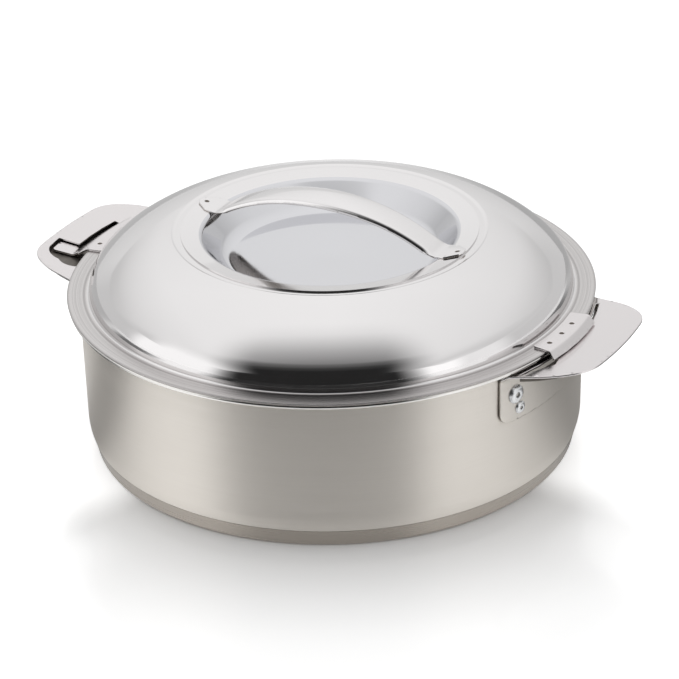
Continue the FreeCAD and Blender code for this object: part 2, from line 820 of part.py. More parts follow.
def cylinder(name, radius, length, place):
    solid = doc.addObject("Part::Cylinder", name)
    solid.setExpression("Radius", as_size(radius).text)
    solid.setExpression("Height", as_size(length).text)
    solid.Placement = place
    return solid


def cone(name, low, high, length, place):
    solid = doc.addObject("Part::Cone", name)
    solid.setExpression("Radius1", as_size(low).text)
    solid.setExpression("Radius2", as_size(high).text)
    solid.setExpression("Height", as_size(length).text)
    solid.Placement = place
    return solid


def turned_to(side, feature):
    """Put a right-hand feature on the left by half a turn about Z."""
    if side == "left":
        feature.Placement = TURN_BACK.multiply(feature.Placement)
    return feature


def make_handle(side, slots):
    sweep = sector("bracket_sweep_" + side, bracket_outline, flange_angle * -1, flange_angle)
    # the wing narrows outwards, and the flange's lower corners are rounded
    plan = prism("bracket_plan_" + side, wing_plan, flange_bottom - OVERCUT, wing_top(wing_far) + OVERCUT)
    blank = common("bracket_blank_" + side, sweep, plan)
    tools = []
    for number, outline in enumerate(slots):
        tools.append(prism("slot_%s_%d" % (side, number), outline, bend_start, wing_top(wing_far) + OVERCUT))
    for number, (angle, height, head, shank) in enumerate(rivet_spots()):
        place = radial(angle, height, flange_inner - OVERCUT)
        length = sheet_metal + OVERCUT * 2
        tools.append(cylinder("rivet_hole_%s_%d" % (side, number), shank + seat_gap, length, place))
    for number, sign in enumerate((-1, 1)):
        corner = size("flange_corner_radius")
        angle = flange_angle * sign
        place = radial(angle, flange_bottom, flange_inner - OVERCUT)
        square = doc.addObject("Part::Box", "corner_%s_%d" % (side, number))
        for edge in ("Length", "Width"):
            square.setExpression(edge, (corner * 2).text)
        square.setExpression("Height", (sheet_metal + OVERCUT * 2).text)
        square.Placement = place.multiply(Placement(Vector(-corner.value, -corner.value, 0), Rotation()))
        middle = Placement(Vector(-corner.value, -corner.value * sign, -OVERCUT), Rotation())
        disc_length = sheet_metal + OVERCUT * 4
        disc = cylinder("corner_disc_%s_%d" % (side, number), corner, disc_length, place.multiply(middle))
        tools.append(cut("corner_cut_%s_%d" % (side, number), square, [disc]))
    handle = cut("handle_body_" + side, blank, tools)
    return keep("handle_" + side, turned_to(side, handle))


make_handle("right", [leaf_slot, narrow_slot])
make_handle("left", [neck_slot, window_slot])

# ---------------------------------------------------------------- closing pans
# A shallow pan under each wing closes the lock from below, so fingers never meet the tongue.
keeper_sheet = size("keeper_thickness")
keeper_half = size("keeper_half_angle")
keeper_in = slot_inner - keeper_sheet
side_rate = (wing_root - side_half) / (side_x - root_x)
tongue_gap = size("tongue_gap")
keeper_depth = tongue_gap + size("lug_thickness") + size("keeper_gap")


def under_wing(radius):
    """Height just under the wing's lower face at a radius."""
    return wing_top(radius) - sheet_metal / cosine(slope) - seat_gap


def pan_space(depth):
    """Section of the space from the wing down to a depth."""
    return [
        (keeper_in, under_wing(keeper_in) - depth),
        (wing_far, under_wing(wing_far) - depth),
        (wing_far, under_wing(wing_far)),
        (keeper_in, under_wing(keeper_in)),
    ]


def keeper_plan(inner, inset, end_inset):
    """The wing's plan outside a radius, drawn in from its sides and its end."""
    inner_x = inner * cosine(keeper_half)
    inner_half = wing_root - (inner_x - root_x) * side_rate - inset
    # the wing's side and corner, moved back along the side and then in
    inward = inset - end_inset * side_rate
    pan_side, pan_corner, pan_end = side_x - end_inset, corner_x - end_inset, end_back - end_inset
    return [
        (inner_x, inner_half * -1),
        (pan_side, inward - side_half),
        Bow(side_radius, 1),
        (pan_corner, inward - wing_half),
        Bow(wing_corner, 1),
        (pan_end, inward - end_half),
        Bow(end_radius, 1),
        (pan_end, end_half - inward),
        Bow(wing_corner, 1),
        (pan_corner, wing_half - inward),
        Bow(side_radius, 1),
        (pan_side, side_half - inward),
        (inner_x, inner_half),
        Bow(inner, -1),
    ]


def make_keeper(side):
    inset = size("keeper_inset_width")
    end_inset = size(side + "_pan_inset_width")
    above = wing_top(wing_far) + OVERCUT
    solid = prism("keeper_solid_" + side, keeper_plan(keeper_in, inset, end_inset), flange_bottom, above)
    room = sector("keeper_room_" + side, pan_space(keeper_depth + keeper_sheet), flange_angle * -1, flange_angle)
    inside = keeper_plan(keeper_in + keeper_sheet, inset + keeper_sheet, end_inset + keeper_sheet)
    core = prism("keeper_core_" + side, inside, flange_bottom, above)
    space = sector("keeper_space_" + side, pan_space(keeper_depth), flange_angle * -1, flange_angle)
    hollow = common("keeper_hollow_" + side, space, core)
    pan = cut("keeper_pan_" + side, common("keeper_blank_" + side, room, solid), [hollow])
    return keep("lock_keeper_" + side, turned_to(side, pan))


for side in ("right", "left"):
    make_keeper(side)

# ---------------------------------------------------------------- blind rivets
# A hollow rivet body with a domed head outside and a set bulb inside, and the pin left in it.
stack = body_radius - shell_sheet
wall_stack = flange_inner + sheet_metal - stack
for side in ("right", "left"):
    bodies = []
    pins = []
    for number, (angle, height, head, shank) in enumerate(rivet_spots()):
        tag = "%s_%d" % (side, number)
        seat = flange_inner + sheet_metal
        bore = shank * size("rivet_bore_share")
        bulb = size("bulb_length")
        tail = stack - bulb
        rise = head * size("rivet_rise_share")
        crown_radius = head * size("rivet_crown_share")
        swell = shank + size("rivet_bulb_width")
        on_seat = radial(angle, height, seat)
        inside = radial(angle, height, tail)
        parts = [
            cone("rivet_head_" + tag, head, crown_radius, rise, on_seat),
            cylinder("rivet_shank_" + tag, shank, wall_stack + bulb, inside),
            cylinder("rivet_bulb_" + tag, swell, bulb - shell_sheet, inside),
        ]
        solid = fuse("rivet_solid_" + tag, parts)
        through = wall_stack + bulb + head
        hollow = cylinder("rivet_bore_" + tag, bore, through, radial(angle, height, tail - OVERCUT))
        bodies.append(turned_to(side, cut("rivet_" + tag, solid, [hollow])))
        pin_length = wall_stack + bulb + head * size("pin_rise_share")
        pins.append(turned_to(side, cylinder("pin_" + tag, bore - seat_gap, pin_length, inside)))
    keep("rivets_" + side, group("rivet_group_" + side, bodies))
    keep("rivet_pins_" + side, group("pin_group_" + side, pins))


def wall_tools(name, extra, reach_in):
    """Radial holes through the wall for every rivet of both handles."""
    tools = []
    for side in ("right", "left"):
        for number, (angle, height, head, shank) in enumerate(rivet_spots()):
            place = radial(angle, height, stack - reach_in)
            length = reach_in + shell_sheet + OVERCUT
            tool = cylinder("%s_%s_%d" % (name, side, number), shank + extra, length, place)
            tools.append(turned_to(side, tool))
    return tools


keep("outer_shell", cut("shell_drilled", shell_blank, wall_tools("shell_hole", seat_gap, as_size(OVERCUT))))
foam_pockets = wall_tools("foam_pocket", size("rivet_bulb_width") + hair, size("bulb_length") + hair)
keep("pot_insulation", cut("pot_foam_pocketed", pot_foam_blank, foam_pockets))

# ---------------------------------------------------------------- lock lugs
# A plate spot-welded to the lid's flange on each side, with a lip bent down over the rim.
lug_sheet = size("lug_thickness")
lug_low = flange_top + seat_gap
lug_top = lug_low + lug_sheet
lug_inner = dome_radius + size("lug_foot_gap")
lug_bend = lid_radius + size("lug_overhang_width")


def lip_outline(reach):
    """Plate and lip section. The lip ends just above the wing."""
    tip = wing_top(reach) + size("lip_gap")
    return [
        (lug_inner, lug_low),
        (lug_bend, lug_low),
        (reach - lug_sheet / 2, tip),
        (reach + lug_sheet / 2, tip),
        (lug_bend + lug_sheet, lug_top - lug_sheet / 3),
        (lug_bend, lug_top),
        (lug_inner, lug_top),
    ]


def weld_marks(name, radius, top, angles):
    """Shallow round dents that spot welds leave."""
    marks = []
    weld = size("weld_radius")
    depth = size("weld_depth")
    for number, angle in enumerate(angles):
        where = Rotation(Vector(0, 0, 1), as_size(angle).value).multVec(Vector(radius.value, 0, 0))
        mark = cone("%s_%d" % (name, number), size("weld_floor_radius"), weld, depth, Placement(
            where + Vector(0, 0, top.value - depth.value), Rotation()))
        marks.append(mark)
    return marks


lug_half = size("lug_half_angle")
shift = size("right_lug_angle")
weld_circle = (lug_inner + lug_bend) / 2
right_reach = lug_bend + size("right_lip_width")
right_plate = sector("right_lug_plate", lip_outline(right_reach), shift - lug_half, shift + lug_half)
weld_start = shift + size("weld_start_angle")
right_welds = [weld_start + size("weld_pitch_angle") * number for number in range(3)]
right_marks = weld_marks("right_weld", weld_circle, lug_top, right_welds)
keep("lock_lug_right", cut("right_lug", right_plate, right_marks))

left_reach = lug_bend + size("left_lip_width")
left_plate = sector("left_lug_plate", lip_outline(left_reach), lug_half * -1, lug_half)
tongue_reach = slot_outer + size("tongue_length")
tongue_low_radius = slot_outer - size("tongue_slot_gap")


def tongue_top(radius):
    """The tongue runs along under the wing."""
    return wing_top(radius) - sheet_metal / cosine(slope) - tongue_gap


tongue_outline = [
    (lug_bend, lug_low),
    (left_reach - lug_sheet / 2, wing_top(left_reach)),
    (tongue_low_radius - lug_sheet, tongue_top(tongue_low_radius) - lug_sheet),
    (tongue_reach, tongue_top(tongue_reach) - lug_sheet),
    (tongue_reach, tongue_top(tongue_reach)),
    (tongue_low_radius, tongue_top(tongue_low_radius)),
    (left_reach + lug_sheet, wing_top(left_reach) + lug_sheet),
    (lug_bend + lug_sheet, lug_top - lug_sheet / 3),
    (lug_bend, lug_top),
]
tongue = sector("left_tongue", tongue_outline, size("tongue_from_angle"), size("tongue_to_angle"))
left_marks = weld_marks("left_weld", weld_circle, lug_top, [size("left_weld_angle")])
left_lug = cut("left_lug", fuse("left_lug_whole", [left_plate, tongue]), left_marks)
keep("lock_lug_left", turned_to("left", left_lug))

# ---------------------------------------------------------------- strap handle
# A pressed strap arched over the cup, crowned across its width, with flat feet spot-welded down.
strap_sheet = SIZES["strap_thickness"]
strap_rise = SIZES["strap_rise_height"]
strap_span = cup_mouth.value - SIZES["strap_set_in_width"]
strap_outside = (strap_span ** 2 + strap_rise ** 2) / (strap_rise * 2)
strap_arch = strap_outside - strap_sheet
foot_gap = SIZES["seat_gap"] + SIZES["strap_foot_crown_height"]
strap_tip = cup_radius.value + SIZES["strap_overhang_length"]


def foot_line(across):
    """Height of the cup's flange along the strap."""
    return mouth_top.value + foot_gap + tangent(flange_slope).value * (across - cup_mouth.value)


ARCH_STATIONS = 6
FOOT_STATIONS = (0.3, 0.6, 0.85, 1.0)    # shares of a foot
HALVINGS = 60
arch_centre = foot_line(cup_mouth.value) + strap_sheet + strap_rise - strap_outside


def strap_path():
    """Points and directions along the strap's underside, from the middle to a foot's tip."""
    fall = math.radians(flange_slope.value)
    bend = SIZES["strap_bend_radius"]
    # the bend's centre is bend above the foot line and bend outside the arch
    low, high = 0, cup_mouth.value
    for _ in range(HALVINGS):
        middle = (low + high) / 2
        height = foot_line(middle) + bend / math.cos(fall)
        if math.hypot(middle, height - arch_centre) < strap_arch + bend:
            low = middle
        else:
            high = middle
    centre = Vector(low, 0, foot_line(low) + bend / math.cos(fall))
    toward = math.atan2(centre.x, centre.z - arch_centre)
    stations = []
    for step in range(ARCH_STATIONS + 1):
        angle = toward * step / ARCH_STATIONS
        height = arch_centre + strap_arch * math.cos(angle)
        stations.append((Vector(strap_arch * math.sin(angle), 0, height), -angle))
    for step in (1, 2):
        angle = -toward + (toward + fall) * step / 2
        stations.append((centre + Vector(math.sin(angle), 0, -math.cos(angle)) * bend, angle))
    start = stations[-1][0].x
    for share in FOOT_STATIONS:
        across = start + (strap_tip - start) * share
        stations.append((Vector(across, 0, foot_line(across)), fall))
    return stations


def strap_widths(stations):
    """Half widths that narrow to the feet and round off at their tips."""
    widths = []
    round_off = SIZES["strap_tip_length"]
    middle_width = SIZES["strap_half_width"]
    foot_width = SIZES["strap_foot_half_width"]
    tip_share = SIZES["strap_tip_half_width"] / foot_width
    foot_start = cup_mouth.value - SIZES["strap_bend_radius"] / 2
    for point, _ in stations:
        share = min(point.x / foot_start, 1.0)
        blend = (1 - math.cos(math.pi * share)) / 2
        width = middle_width + (foot_width - middle_width) * blend
        from_tip = strap_tip - point.x
        if from_tip < round_off:
            inside = 1 - from_tip / round_off
            width *= tip_share + (1 - tip_share) * math.sqrt(1 - inside ** 2)
        rise = SIZES["strap_crown_height"] * (1 - blend) + SIZES["strap_foot_crown_height"] * blend
        widths.append((width, rise))
    return widths


def strap_section(point, angle, half_width, crown_rise):
    """Crescent section across the strap: crowned above and hollow below."""
    up = Vector(-math.sin(angle), 0, math.cos(angle))
    left = point + Vector(0, half_width, 0) - up * crown_rise
    right = point - Vector(0, half_width, 0) - up * crown_rise
    left_top = left + up * strap_sheet
    right_top = right + up * strap_sheet
    return Part.Wire([
        Part.Arc(left, point, right).toShape(),
        Part.LineSegment(right, right_top).toShape(),
        Part.Arc(right_top, point + up * strap_sheet, left_top).toShape(),
        Part.LineSegment(left_top, left).toShape(),
    ])


half_stations = strap_path()
half_widths = strap_widths(half_stations)
sections = []
for (point, angle), (width, rise) in reversed(list(zip(half_stations, half_widths))[1:]):
    sections.append(strap_section(Vector(-point.x, 0, point.z), -angle, width, rise))
for (point, angle), (width, rise) in zip(half_stations, half_widths):
    sections.append(strap_section(point, angle, width, rise))
strap = doc.addObject("Part::Feature", "strap_blank")
strap.Shape = Part.makeLoft(sections, True, False)
weld_x = as_size(strap_tip - SIZES["strap_weld_length"])
strap_marks = []
for number, way in enumerate((0, 180)):
    height = foot_line(weld_x.value) + strap_sheet
    strap_marks += weld_marks("strap_weld_%d" % number, weld_x, as_size(height), [way])
keep("strap_handle", cut("strap_drilled", strap, strap_marks))

# ---------------------------------------------------------------- check and write
doc.recompute()
for thing in doc.Objects:
    if "Invalid" in thing.State or "Error" in thing.State:
        raise RuntimeError("failed object: %s %s" % (thing.Label, thing.State))
os.makedirs("parts", exist_ok=True)
for node in nodes:
    shape = node.Shape
    if shape.isNull() or not shape.isValid():
        raise RuntimeError("bad shape: " + node.Label)
    shape.exportStep("parts/%s.step" % node.Label)
    print("%-18s solids %d volume %.1f mm3" % (node.Label, len(shape.Solids), shape.Volume))
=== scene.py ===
"""Double-walled casserole with a twist-locking steel lid: its finished surfaces, in metres.

The pot stands on z = 0 with its axis on +Z and its two wing handles along +X and -X.
Sizes in the sections are in millimetres and degrees, as on a workshop drawing.
"""
import math

import bpy
import bmesh
import numpy as np
from mathutils import Matrix, Vector
from mathutils.geometry import delaunay_2d_cdt


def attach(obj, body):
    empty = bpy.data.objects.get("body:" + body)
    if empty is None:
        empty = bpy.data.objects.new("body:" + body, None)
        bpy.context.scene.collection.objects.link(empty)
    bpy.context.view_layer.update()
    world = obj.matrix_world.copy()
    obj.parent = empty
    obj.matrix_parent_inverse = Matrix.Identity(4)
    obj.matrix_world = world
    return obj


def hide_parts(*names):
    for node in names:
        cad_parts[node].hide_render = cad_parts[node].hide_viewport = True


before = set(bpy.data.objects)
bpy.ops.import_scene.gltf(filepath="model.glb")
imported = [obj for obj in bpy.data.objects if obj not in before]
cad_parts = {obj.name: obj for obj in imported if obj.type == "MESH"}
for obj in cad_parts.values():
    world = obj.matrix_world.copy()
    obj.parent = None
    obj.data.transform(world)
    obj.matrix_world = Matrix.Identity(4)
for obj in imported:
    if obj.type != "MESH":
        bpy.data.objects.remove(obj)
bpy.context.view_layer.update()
MM = 0.001


# ---------------------------------------------------------------- outer shell
# The pot's outer wall, drawn from 0.7 mm stainless sheet. Its upper edge turns out into a flange
# for the rim, and its foot steps in for the base cap. The wall is brushed round and round.
def colour(code):
    """An sRGB hex colour as the linear values that a shader takes."""
    parts = [int(code[at:at + 2], 16) / 255 for at in (1, 3, 5)]
    return [part / 12.92 if part <= 0.04045 else ((part + 0.055) / 1.055) ** 2.4 for part in parts] + [1.0]


def wire(tree, value, socket):
    """Feeds a socket with a value, with another node's output, or with a node's first output."""
    if isinstance(value, bpy.types.Node):
        value = value.outputs[0]
    if isinstance(value, bpy.types.NodeSocket):
        tree.links.new(value, socket)
    else:
        socket.default_value = value


def node(tree, kind, settings=None, **inputs):
    """Adds a node. Its settings are attributes, and its inputs go by their names or as n0, n1 and so on."""
    made = tree.nodes.new(kind)
    for name, value in (settings or {}).items():
        setattr(made, name, value)
    for name, value in inputs.items():
        plain = name.replace("_", " ")
        wire(tree, value, made.inputs[int(plain[1:]) if plain[1:].isdigit() else plain])
    return made


def drive(finish, value, socket):
    """Feeds a socket of a finish's shader."""
    wire(finish.node_tree, value, finish.node_tree.nodes["Principled BSDF"].inputs[socket])


def new_finish(name, base, roughness, brushed=0.0, metallic=1.0):
    """A finish with its constants on the shader's own sockets. A brushed one has its lines round the axis."""
    made = bpy.data.materials.new(name)
    made.use_nodes = True
    for socket, value in (("Base Color", colour(base)), ("Metallic", metallic), ("Roughness", roughness),
                          ("Anisotropic", brushed), ("Anisotropic Rotation", 0.25 if brushed else 0.0)):
        drive(made, value, socket)
    if brushed:
        round_axis = node(made.node_tree, "ShaderNodeTangent", {"direction_type": "RADIAL", "axis": "Z"})
        drive(made, round_axis, "Tangent")
    return made


def noise(finish, scale, detail, stretch=None, **more):
    """A noise texture on the object's own coordinates, which stretch scales along each axis."""
    tree = finish.node_tree
    place = node(tree, "ShaderNodeTexCoord").outputs["Object"]
    if stretch:
        place = node(tree, "ShaderNodeMapping", Vector=place, Scale=stretch)
    return node(tree, "ShaderNodeTexNoise", Vector=place, Scale=scale, Detail=detail, **more)


def haze(finish, texture, low, high):
    """Lets a noise texture vary the roughness from low to high."""
    drive(finish, node(finish.node_tree, "ShaderNodeMapRange", Value=texture, From_Min=0.3, From_Max=0.7,
                       To_Min=low, To_Max=high), "Roughness")


def relief(finish, texture, strength, height):
    """Lets a texture raise the surface, by up to a height in millimetres."""
    drive(finish, node(finish.node_tree, "ShaderNodeBump", Height=texture, Strength=strength,
                       Distance=height * MM), "Normal")


def tint(finish, share, dark, light):
    """Lets a share from 0 to 1 turn the colour from dark to light."""
    mix = node(finish.node_tree, "ShaderNodeMix", {"data_type": "RGBA"}, Factor=share,
               n6=colour(dark), n7=colour(light))
    drive(finish, mix.outputs[2], "Base Color")


# Brushed stainless steel 304. The brush leaves fine lines round the wall, so light spreads
# up and down it in tall soft bands. Real lines are 0.1 mm apart; these are 0.5 mm, to show.
brushed_steel = new_finish("brushed_stainless", "#E2DDD6", 0.48, brushed=0.8)
LINE_PITCH = 0.5
lines = noise(brushed_steel, 1.0, 3.0, (14, 14, 1 / (LINE_PITCH * MM)), Roughness=0.6)
haze(brushed_steel, lines, 0.44, 0.52)
relief(brushed_steel, lines, 0.12, 0.02)

ARC_STEP = 4.0      # degrees between points on a bend
EDGE_SUPPORT = 0.6  # a straight run gets a point this near to each of its ends


def walk(path, arc_step=ARC_STEP):
    """Points along a profile. A bare number before a corner makes the way there an arc of that
    radius, positive with its centre to the left of the walk and negative to the right."""
    points = []
    bow = None
    for item in path:
        if not isinstance(item, tuple):
            bow = item
            continue
        corner = np.array(item, float)
        if not points:
            points.append(corner)
            continue
        start = points[-1]
        chord = corner - start
        length = np.linalg.norm(chord)
        if bow is None:
            if length > EDGE_SUPPORT * 4:
                for share in (EDGE_SUPPORT / length, 0.5, 1 - EDGE_SUPPORT / length):
                    points.append(start + chord * share)
            points.append(corner)
            continue
        radius = max(abs(bow), length / 2 * 1.00001)
        across = np.array([-chord[1], chord[0]]) / length * math.copysign(1, bow)
        centre = start + chord / 2 + across * math.sqrt(radius ** 2 - length ** 2 / 4)
        turn = 2 * math.asin(min(1.0, length / 2 / radius)) * math.copysign(1, bow)
        count = max(2, math.ceil(math.degrees(abs(turn)) / arc_step))
        for number in range(1, count + 1):
            angle = turn * number / count
            spoke = start - centre
            points.append(centre + np.array([
                spoke[0] * math.cos(angle) - spoke[1] * math.sin(angle),
                spoke[0] * math.sin(angle) + spoke[1] * math.cos(angle)]))
        bow = None
    return points


def node_group(name, result, **inputs):
    """A Geometry Nodes group with its inputs' kinds by their names, and its input node's sockets."""
    made = bpy.data.node_groups.new(name, "GeometryNodeTree")
    for label, kind in inputs.items():
        made.interface.new_socket(label.replace("_", " "), in_out="INPUT", socket_type="NodeSocket" + kind)
    made.interface.new_socket(result, in_out="OUTPUT", socket_type="NodeSocketGeometry")
    return made, made.nodes.new("NodeGroupInput").outputs


def end_group(tree, geometry, finish):
    """Ends a Geometry Nodes group with real geometry in a finish."""
    real = node(tree, "GeometryNodeRealizeInstances", Geometry=geometry)
    painted = node(tree, "GeometryNodeSetMaterial", Geometry=real, Material=finish)
    wire(tree, painted, tree.nodes.new("NodeGroupOutput").inputs[0])


def spinning_tree():
    """Geometry Nodes that spin a flat profile of (radius, height) round the axis into a sheet part."""
    made, start = node_group("spun_sheet", "Part", Profile="Geometry", Segments="Int", Guide_radius="Float",
                             Crease_angle="Float", Finish="Material")
    curve = node(made, "GeometryNodeMeshToCurve", n0=start["Profile"])
    guide = node(made, "GeometryNodeCurvePrimitiveCircle", Resolution=start["Segments"],
                 Radius=start["Guide radius"])
    swept = node(made, "GeometryNodeCurveToMesh", Curve=guide, Profile_Curve=curve)
    welded = node(made, "GeometryNodeMergeByDistance", Geometry=swept, Distance=1e-6)
    edges = node(made, "GeometryNodeInputMeshEdgeAngle")
    sharp = node(made, "FunctionNodeCompare", {"data_type": "FLOAT", "operation": "GREATER_THAN"},
                 n0=edges, n1=start["Crease angle"])
    smooth = node(made, "GeometryNodeSetShadeSmooth", {"domain": "FACE"}, Geometry=welded)
    creased = node(made, "GeometryNodeSetShadeSmooth", {"domain": "EDGE"}, Geometry=smooth,
                   Selection=sharp, Shade_Smooth=False)
    end_group(made, creased, start["Finish"])
    return made


spun_sheet = spinning_tree()
GUIDE = 60.0            # radius of the circle that carries a profile round
CREASE = 35             # edges bent by more degrees than this stay sharp
SAME_POINT = 2e-6       # points nearer to each other than this, in metres, are joined


def put_in_scene(name, data):
    made = bpy.data.objects.new(name, data)
    bpy.context.scene.collection.objects.link(made)
    return made


def face_outwards(mesh, join=0.0):
    """Turns a closed mesh's faces outwards, after joining points nearer than a distance."""
    work = bmesh.new()
    work.from_mesh(mesh)
    if join:
        bmesh.ops.remove_doubles(work, verts=work.verts, dist=join)
    bmesh.ops.recalc_face_normals(work, faces=work.faces)
    if work.calc_volume() < 0:
        bmesh.ops.reverse_faces(work, faces=work.faces)
    work.to_mesh(mesh)
    work.free()


def grown(name, source, tree, inputs, body):
    """Runs a node tree on a mesh and keeps the result as a plain mesh that rides on a body."""
    carrier = put_in_scene(name + "_carrier", source)
    steps = carrier.modifiers.new("grow", "NODES")
    steps.node_group = tree
    sockets = {item.name: item.identifier for item in tree.interface.items_tree if item.in_out == "INPUT"}
    for label, value in inputs.items():
        steps[sockets[label]] = value
    bpy.context.view_layer.update()
    result = carrier.evaluated_get(bpy.context.evaluated_depsgraph_get())
    mesh = bpy.data.meshes.new_from_object(result)
    mesh.name = name
    bpy.data.objects.remove(carrier)
    bpy.data.meshes.remove(source)
    face_outwards(mesh)
    made = put_in_scene(name, mesh)
    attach(made, body)
    return made


def repaint(piece, finish, chosen):
    """Gives a further finish to the faces that are chosen."""
    piece.data.materials.append(finish)
    for face in piece.data.polygons:
        if chosen(face):
            face.material_index = len(piece.data.materials) - 1


def spun(name, path, finish, body, segments=256, arc_step=ARC_STEP):
    """A part spun from its closed profile. A profile that starts and ends on the axis stays open there."""
    flat = [((x - GUIDE) * MM, -z * MM, 0) for x, z in walk(path, arc_step)]
    edges = [(number, number + 1) for number in range(len(flat) - 1)]
    if path[0][0] > 0:
        edges.append((len(flat) - 1, 0))
    source = bpy.data.meshes.new(name + "_profile")
    source.from_pydata(flat, edges, [])
    return grown(name, source, spun_sheet, {"Segments": segments, "Guide radius": GUIDE * MM,
                                            "Crease angle": math.radians(CREASE), "Finish": finish}, body)


BODY_RADIUS, FOOT_RADIUS, CAP_RADIUS = 120.0, 119.2, 117.6
SHELL_SHEET, RIM_RADIUS, RIM_TOP, HEM_HALF = 0.7, 125.4, 76.9, 1.125
RIM_MIDDLE = RIM_TOP - HEM_HALF
FLANGE_LOW = RIM_MIDDLE - SHELL_SHEET / 2
shell_profile = [
    (0, 2.15), (40, 2.15), (80, 2.15), (108.1, 2.15), 16, (116.65, 8.6), (117.6, 8.75), 22, (FOOT_RADIUS, 16.0),
    (BODY_RADIUS, FLANGE_LOW - 3), -3, (BODY_RADIUS + 3, FLANGE_LOW), (RIM_RADIUS - HEM_HALF, FLANGE_LOW),
    (RIM_RADIUS - HEM_HALF, FLANGE_LOW + SHELL_SHEET), (BODY_RADIUS + 3, FLANGE_LOW + SHELL_SHEET),
    3.7, (BODY_RADIUS - SHELL_SHEET, FLANGE_LOW - 3), (FOOT_RADIUS - SHELL_SHEET, 16.0),
    -22, (115.95, 8.75), -15.3, (108.1, 2.85), (80, 2.85), (40, 2.85), (0, 2.85),
]
outer_shell = spun("brushed_wall", shell_profile, brushed_steel, "pot")
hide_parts("outer_shell")

# ---------------------------------------------------------------- inner bowl
# The cooking bowl, drawn from 0.7 mm sheet. Its mouth turns out flat over the shell's flange and
# is hemmed round it, which makes the polished rolled rim.

# Polished stainless steel with a faint haze from the buffing wheel, for rims and bright edges.
rim_steel = new_finish("polished_rim", "#E6E4E1", 0.12)
haze(rim_steel, noise(rim_steel, 180.0, 2.0), 0.09, 0.16)

BOWL_RADIUS, BOWL_LOW, BOWL_FLOOR, BOWL_CORNER, MOUTH, BOWL_SHEET = 108.0, 107.0, 17.0, 14.0, 3.5, 0.7
hem_x, hem_under = RIM_RADIUS - HEM_HALF, RIM_TOP - HEM_HALF * 2
HEM_TUCK, HEM_NIP = 1.5, 0.075      # the hem's end lies this far in, and its fold is closed by this much
bowl_profile = [
    (0, BOWL_FLOOR), (45, BOWL_FLOOR), (BOWL_LOW - BOWL_CORNER, BOWL_FLOOR), BOWL_CORNER,
    (BOWL_LOW, BOWL_FLOOR + BOWL_CORNER), (BOWL_RADIUS, RIM_TOP - MOUTH),
    -MOUTH, (BOWL_RADIUS + MOUTH, RIM_TOP), (hem_x, RIM_TOP), -HEM_HALF, (hem_x, hem_under),
    (hem_x - HEM_TUCK, hem_under),
    (hem_x - HEM_TUCK, hem_under + BOWL_SHEET), (hem_x + HEM_NIP, hem_under + BOWL_SHEET),
    HEM_HALF - BOWL_SHEET, (hem_x + HEM_NIP, RIM_TOP - BOWL_SHEET),
    (BOWL_RADIUS + MOUTH, RIM_TOP - BOWL_SHEET),
    MOUTH - BOWL_SHEET, (BOWL_RADIUS + BOWL_SHEET, RIM_TOP - MOUTH),
    (BOWL_LOW + BOWL_SHEET, BOWL_FLOOR + BOWL_CORNER), -BOWL_CORNER - BOWL_SHEET,
    (BOWL_LOW - BOWL_CORNER, BOWL_FLOOR - BOWL_SHEET), (45, BOWL_FLOOR - BOWL_SHEET),
    (0, BOWL_FLOOR - BOWL_SHEET),
]
inner_bowl = spun("bowl_and_rim", bowl_profile, rim_steel, "pot", arc_step=6)
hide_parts("inner_bowl")

# ---------------------------------------------------------------- base cap
# A pressed 0.8 mm cap over the foot. It stands on a flat ring and its middle is lifted.

# Satin stainless steel of the base cap, only lightly buffed, and darker and browner than the wall.
cap_steel = new_finish("satin_base_steel", "#A8A199", 0.3, brushed=0.6)
haze(cap_steel, noise(cap_steel, 1.0, 2.0, (20, 20, 2500)), 0.26, 0.34)

cap_profile = [
    (0, 1.2), (50, 1.2), (99.3, 1.2), (100.5, 0), (113.3, 0), 2.8, (116.1, 2.8), (CAP_RADIUS, 8.6),
    (CAP_RADIUS - 0.8, 8.6), (115.3, 2.8), -2.0, (113.3, 0.8), (100.9, 0.8), (99.7, 2.0), (50, 2.0), (0, 2.0),
]
base_cap = spun("base_cap_pressed", cap_profile, cap_steel, "pot")
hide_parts("base_cap")

# ---------------------------------------------------------------- lid cover
# The dome and its flat flange are one polished 0.7 mm sheet. A ledge round the middle takes the cup.

# Mirror-polished stainless steel. Buffing leaves it a little uneven, which bends reflections.
mirror_steel = new_finish("mirror_polished_stainless", "#EAE8E8", 0.06)
relief(mirror_steel, noise(mirror_steel, 22.0, 1.0), 0.25, 0.12)
haze(mirror_steel, noise(mirror_steel, 90.0, 3.0), 0.05, 0.1)


def from_axis(tree):
    """The distance from the pot's axis, in metres."""
    place = node(tree, "ShaderNodeTexCoord").outputs["Object"]
    level = node(tree, "ShaderNodeVectorMath", {"operation": "MULTIPLY"}, n0=place, n1=(1, 1, 0))
    return node(tree, "ShaderNodeVectorMath", {"operation": "LENGTH"}, n0=level).outputs["Value"]


# The flange is turned smooth rather than mirror-polished, so it is softer than the dome. Its greyer colour is
# painted shade, and its fine light and dark rings are partly turning marks and partly painted reflections.
flange_steel_painted_shade = new_finish("turned_flange_painted_shade", "#D9D6D5", 0.24)
tree = flange_steel_painted_shade.node_tree
RING_PITCH = 2.6
rings = node(tree, "ShaderNodeTexNoise", {"noise_dimensions": "1D"}, W=from_axis(tree),
             Scale=1 / (RING_PITCH * MM), Detail=2.0)
share = node(tree, "ShaderNodeMapRange", Value=rings, From_Min=0.35, From_Max=0.65)
tint(flange_steel_painted_shade, share, "#B4B1B0", "#DEDBDA")

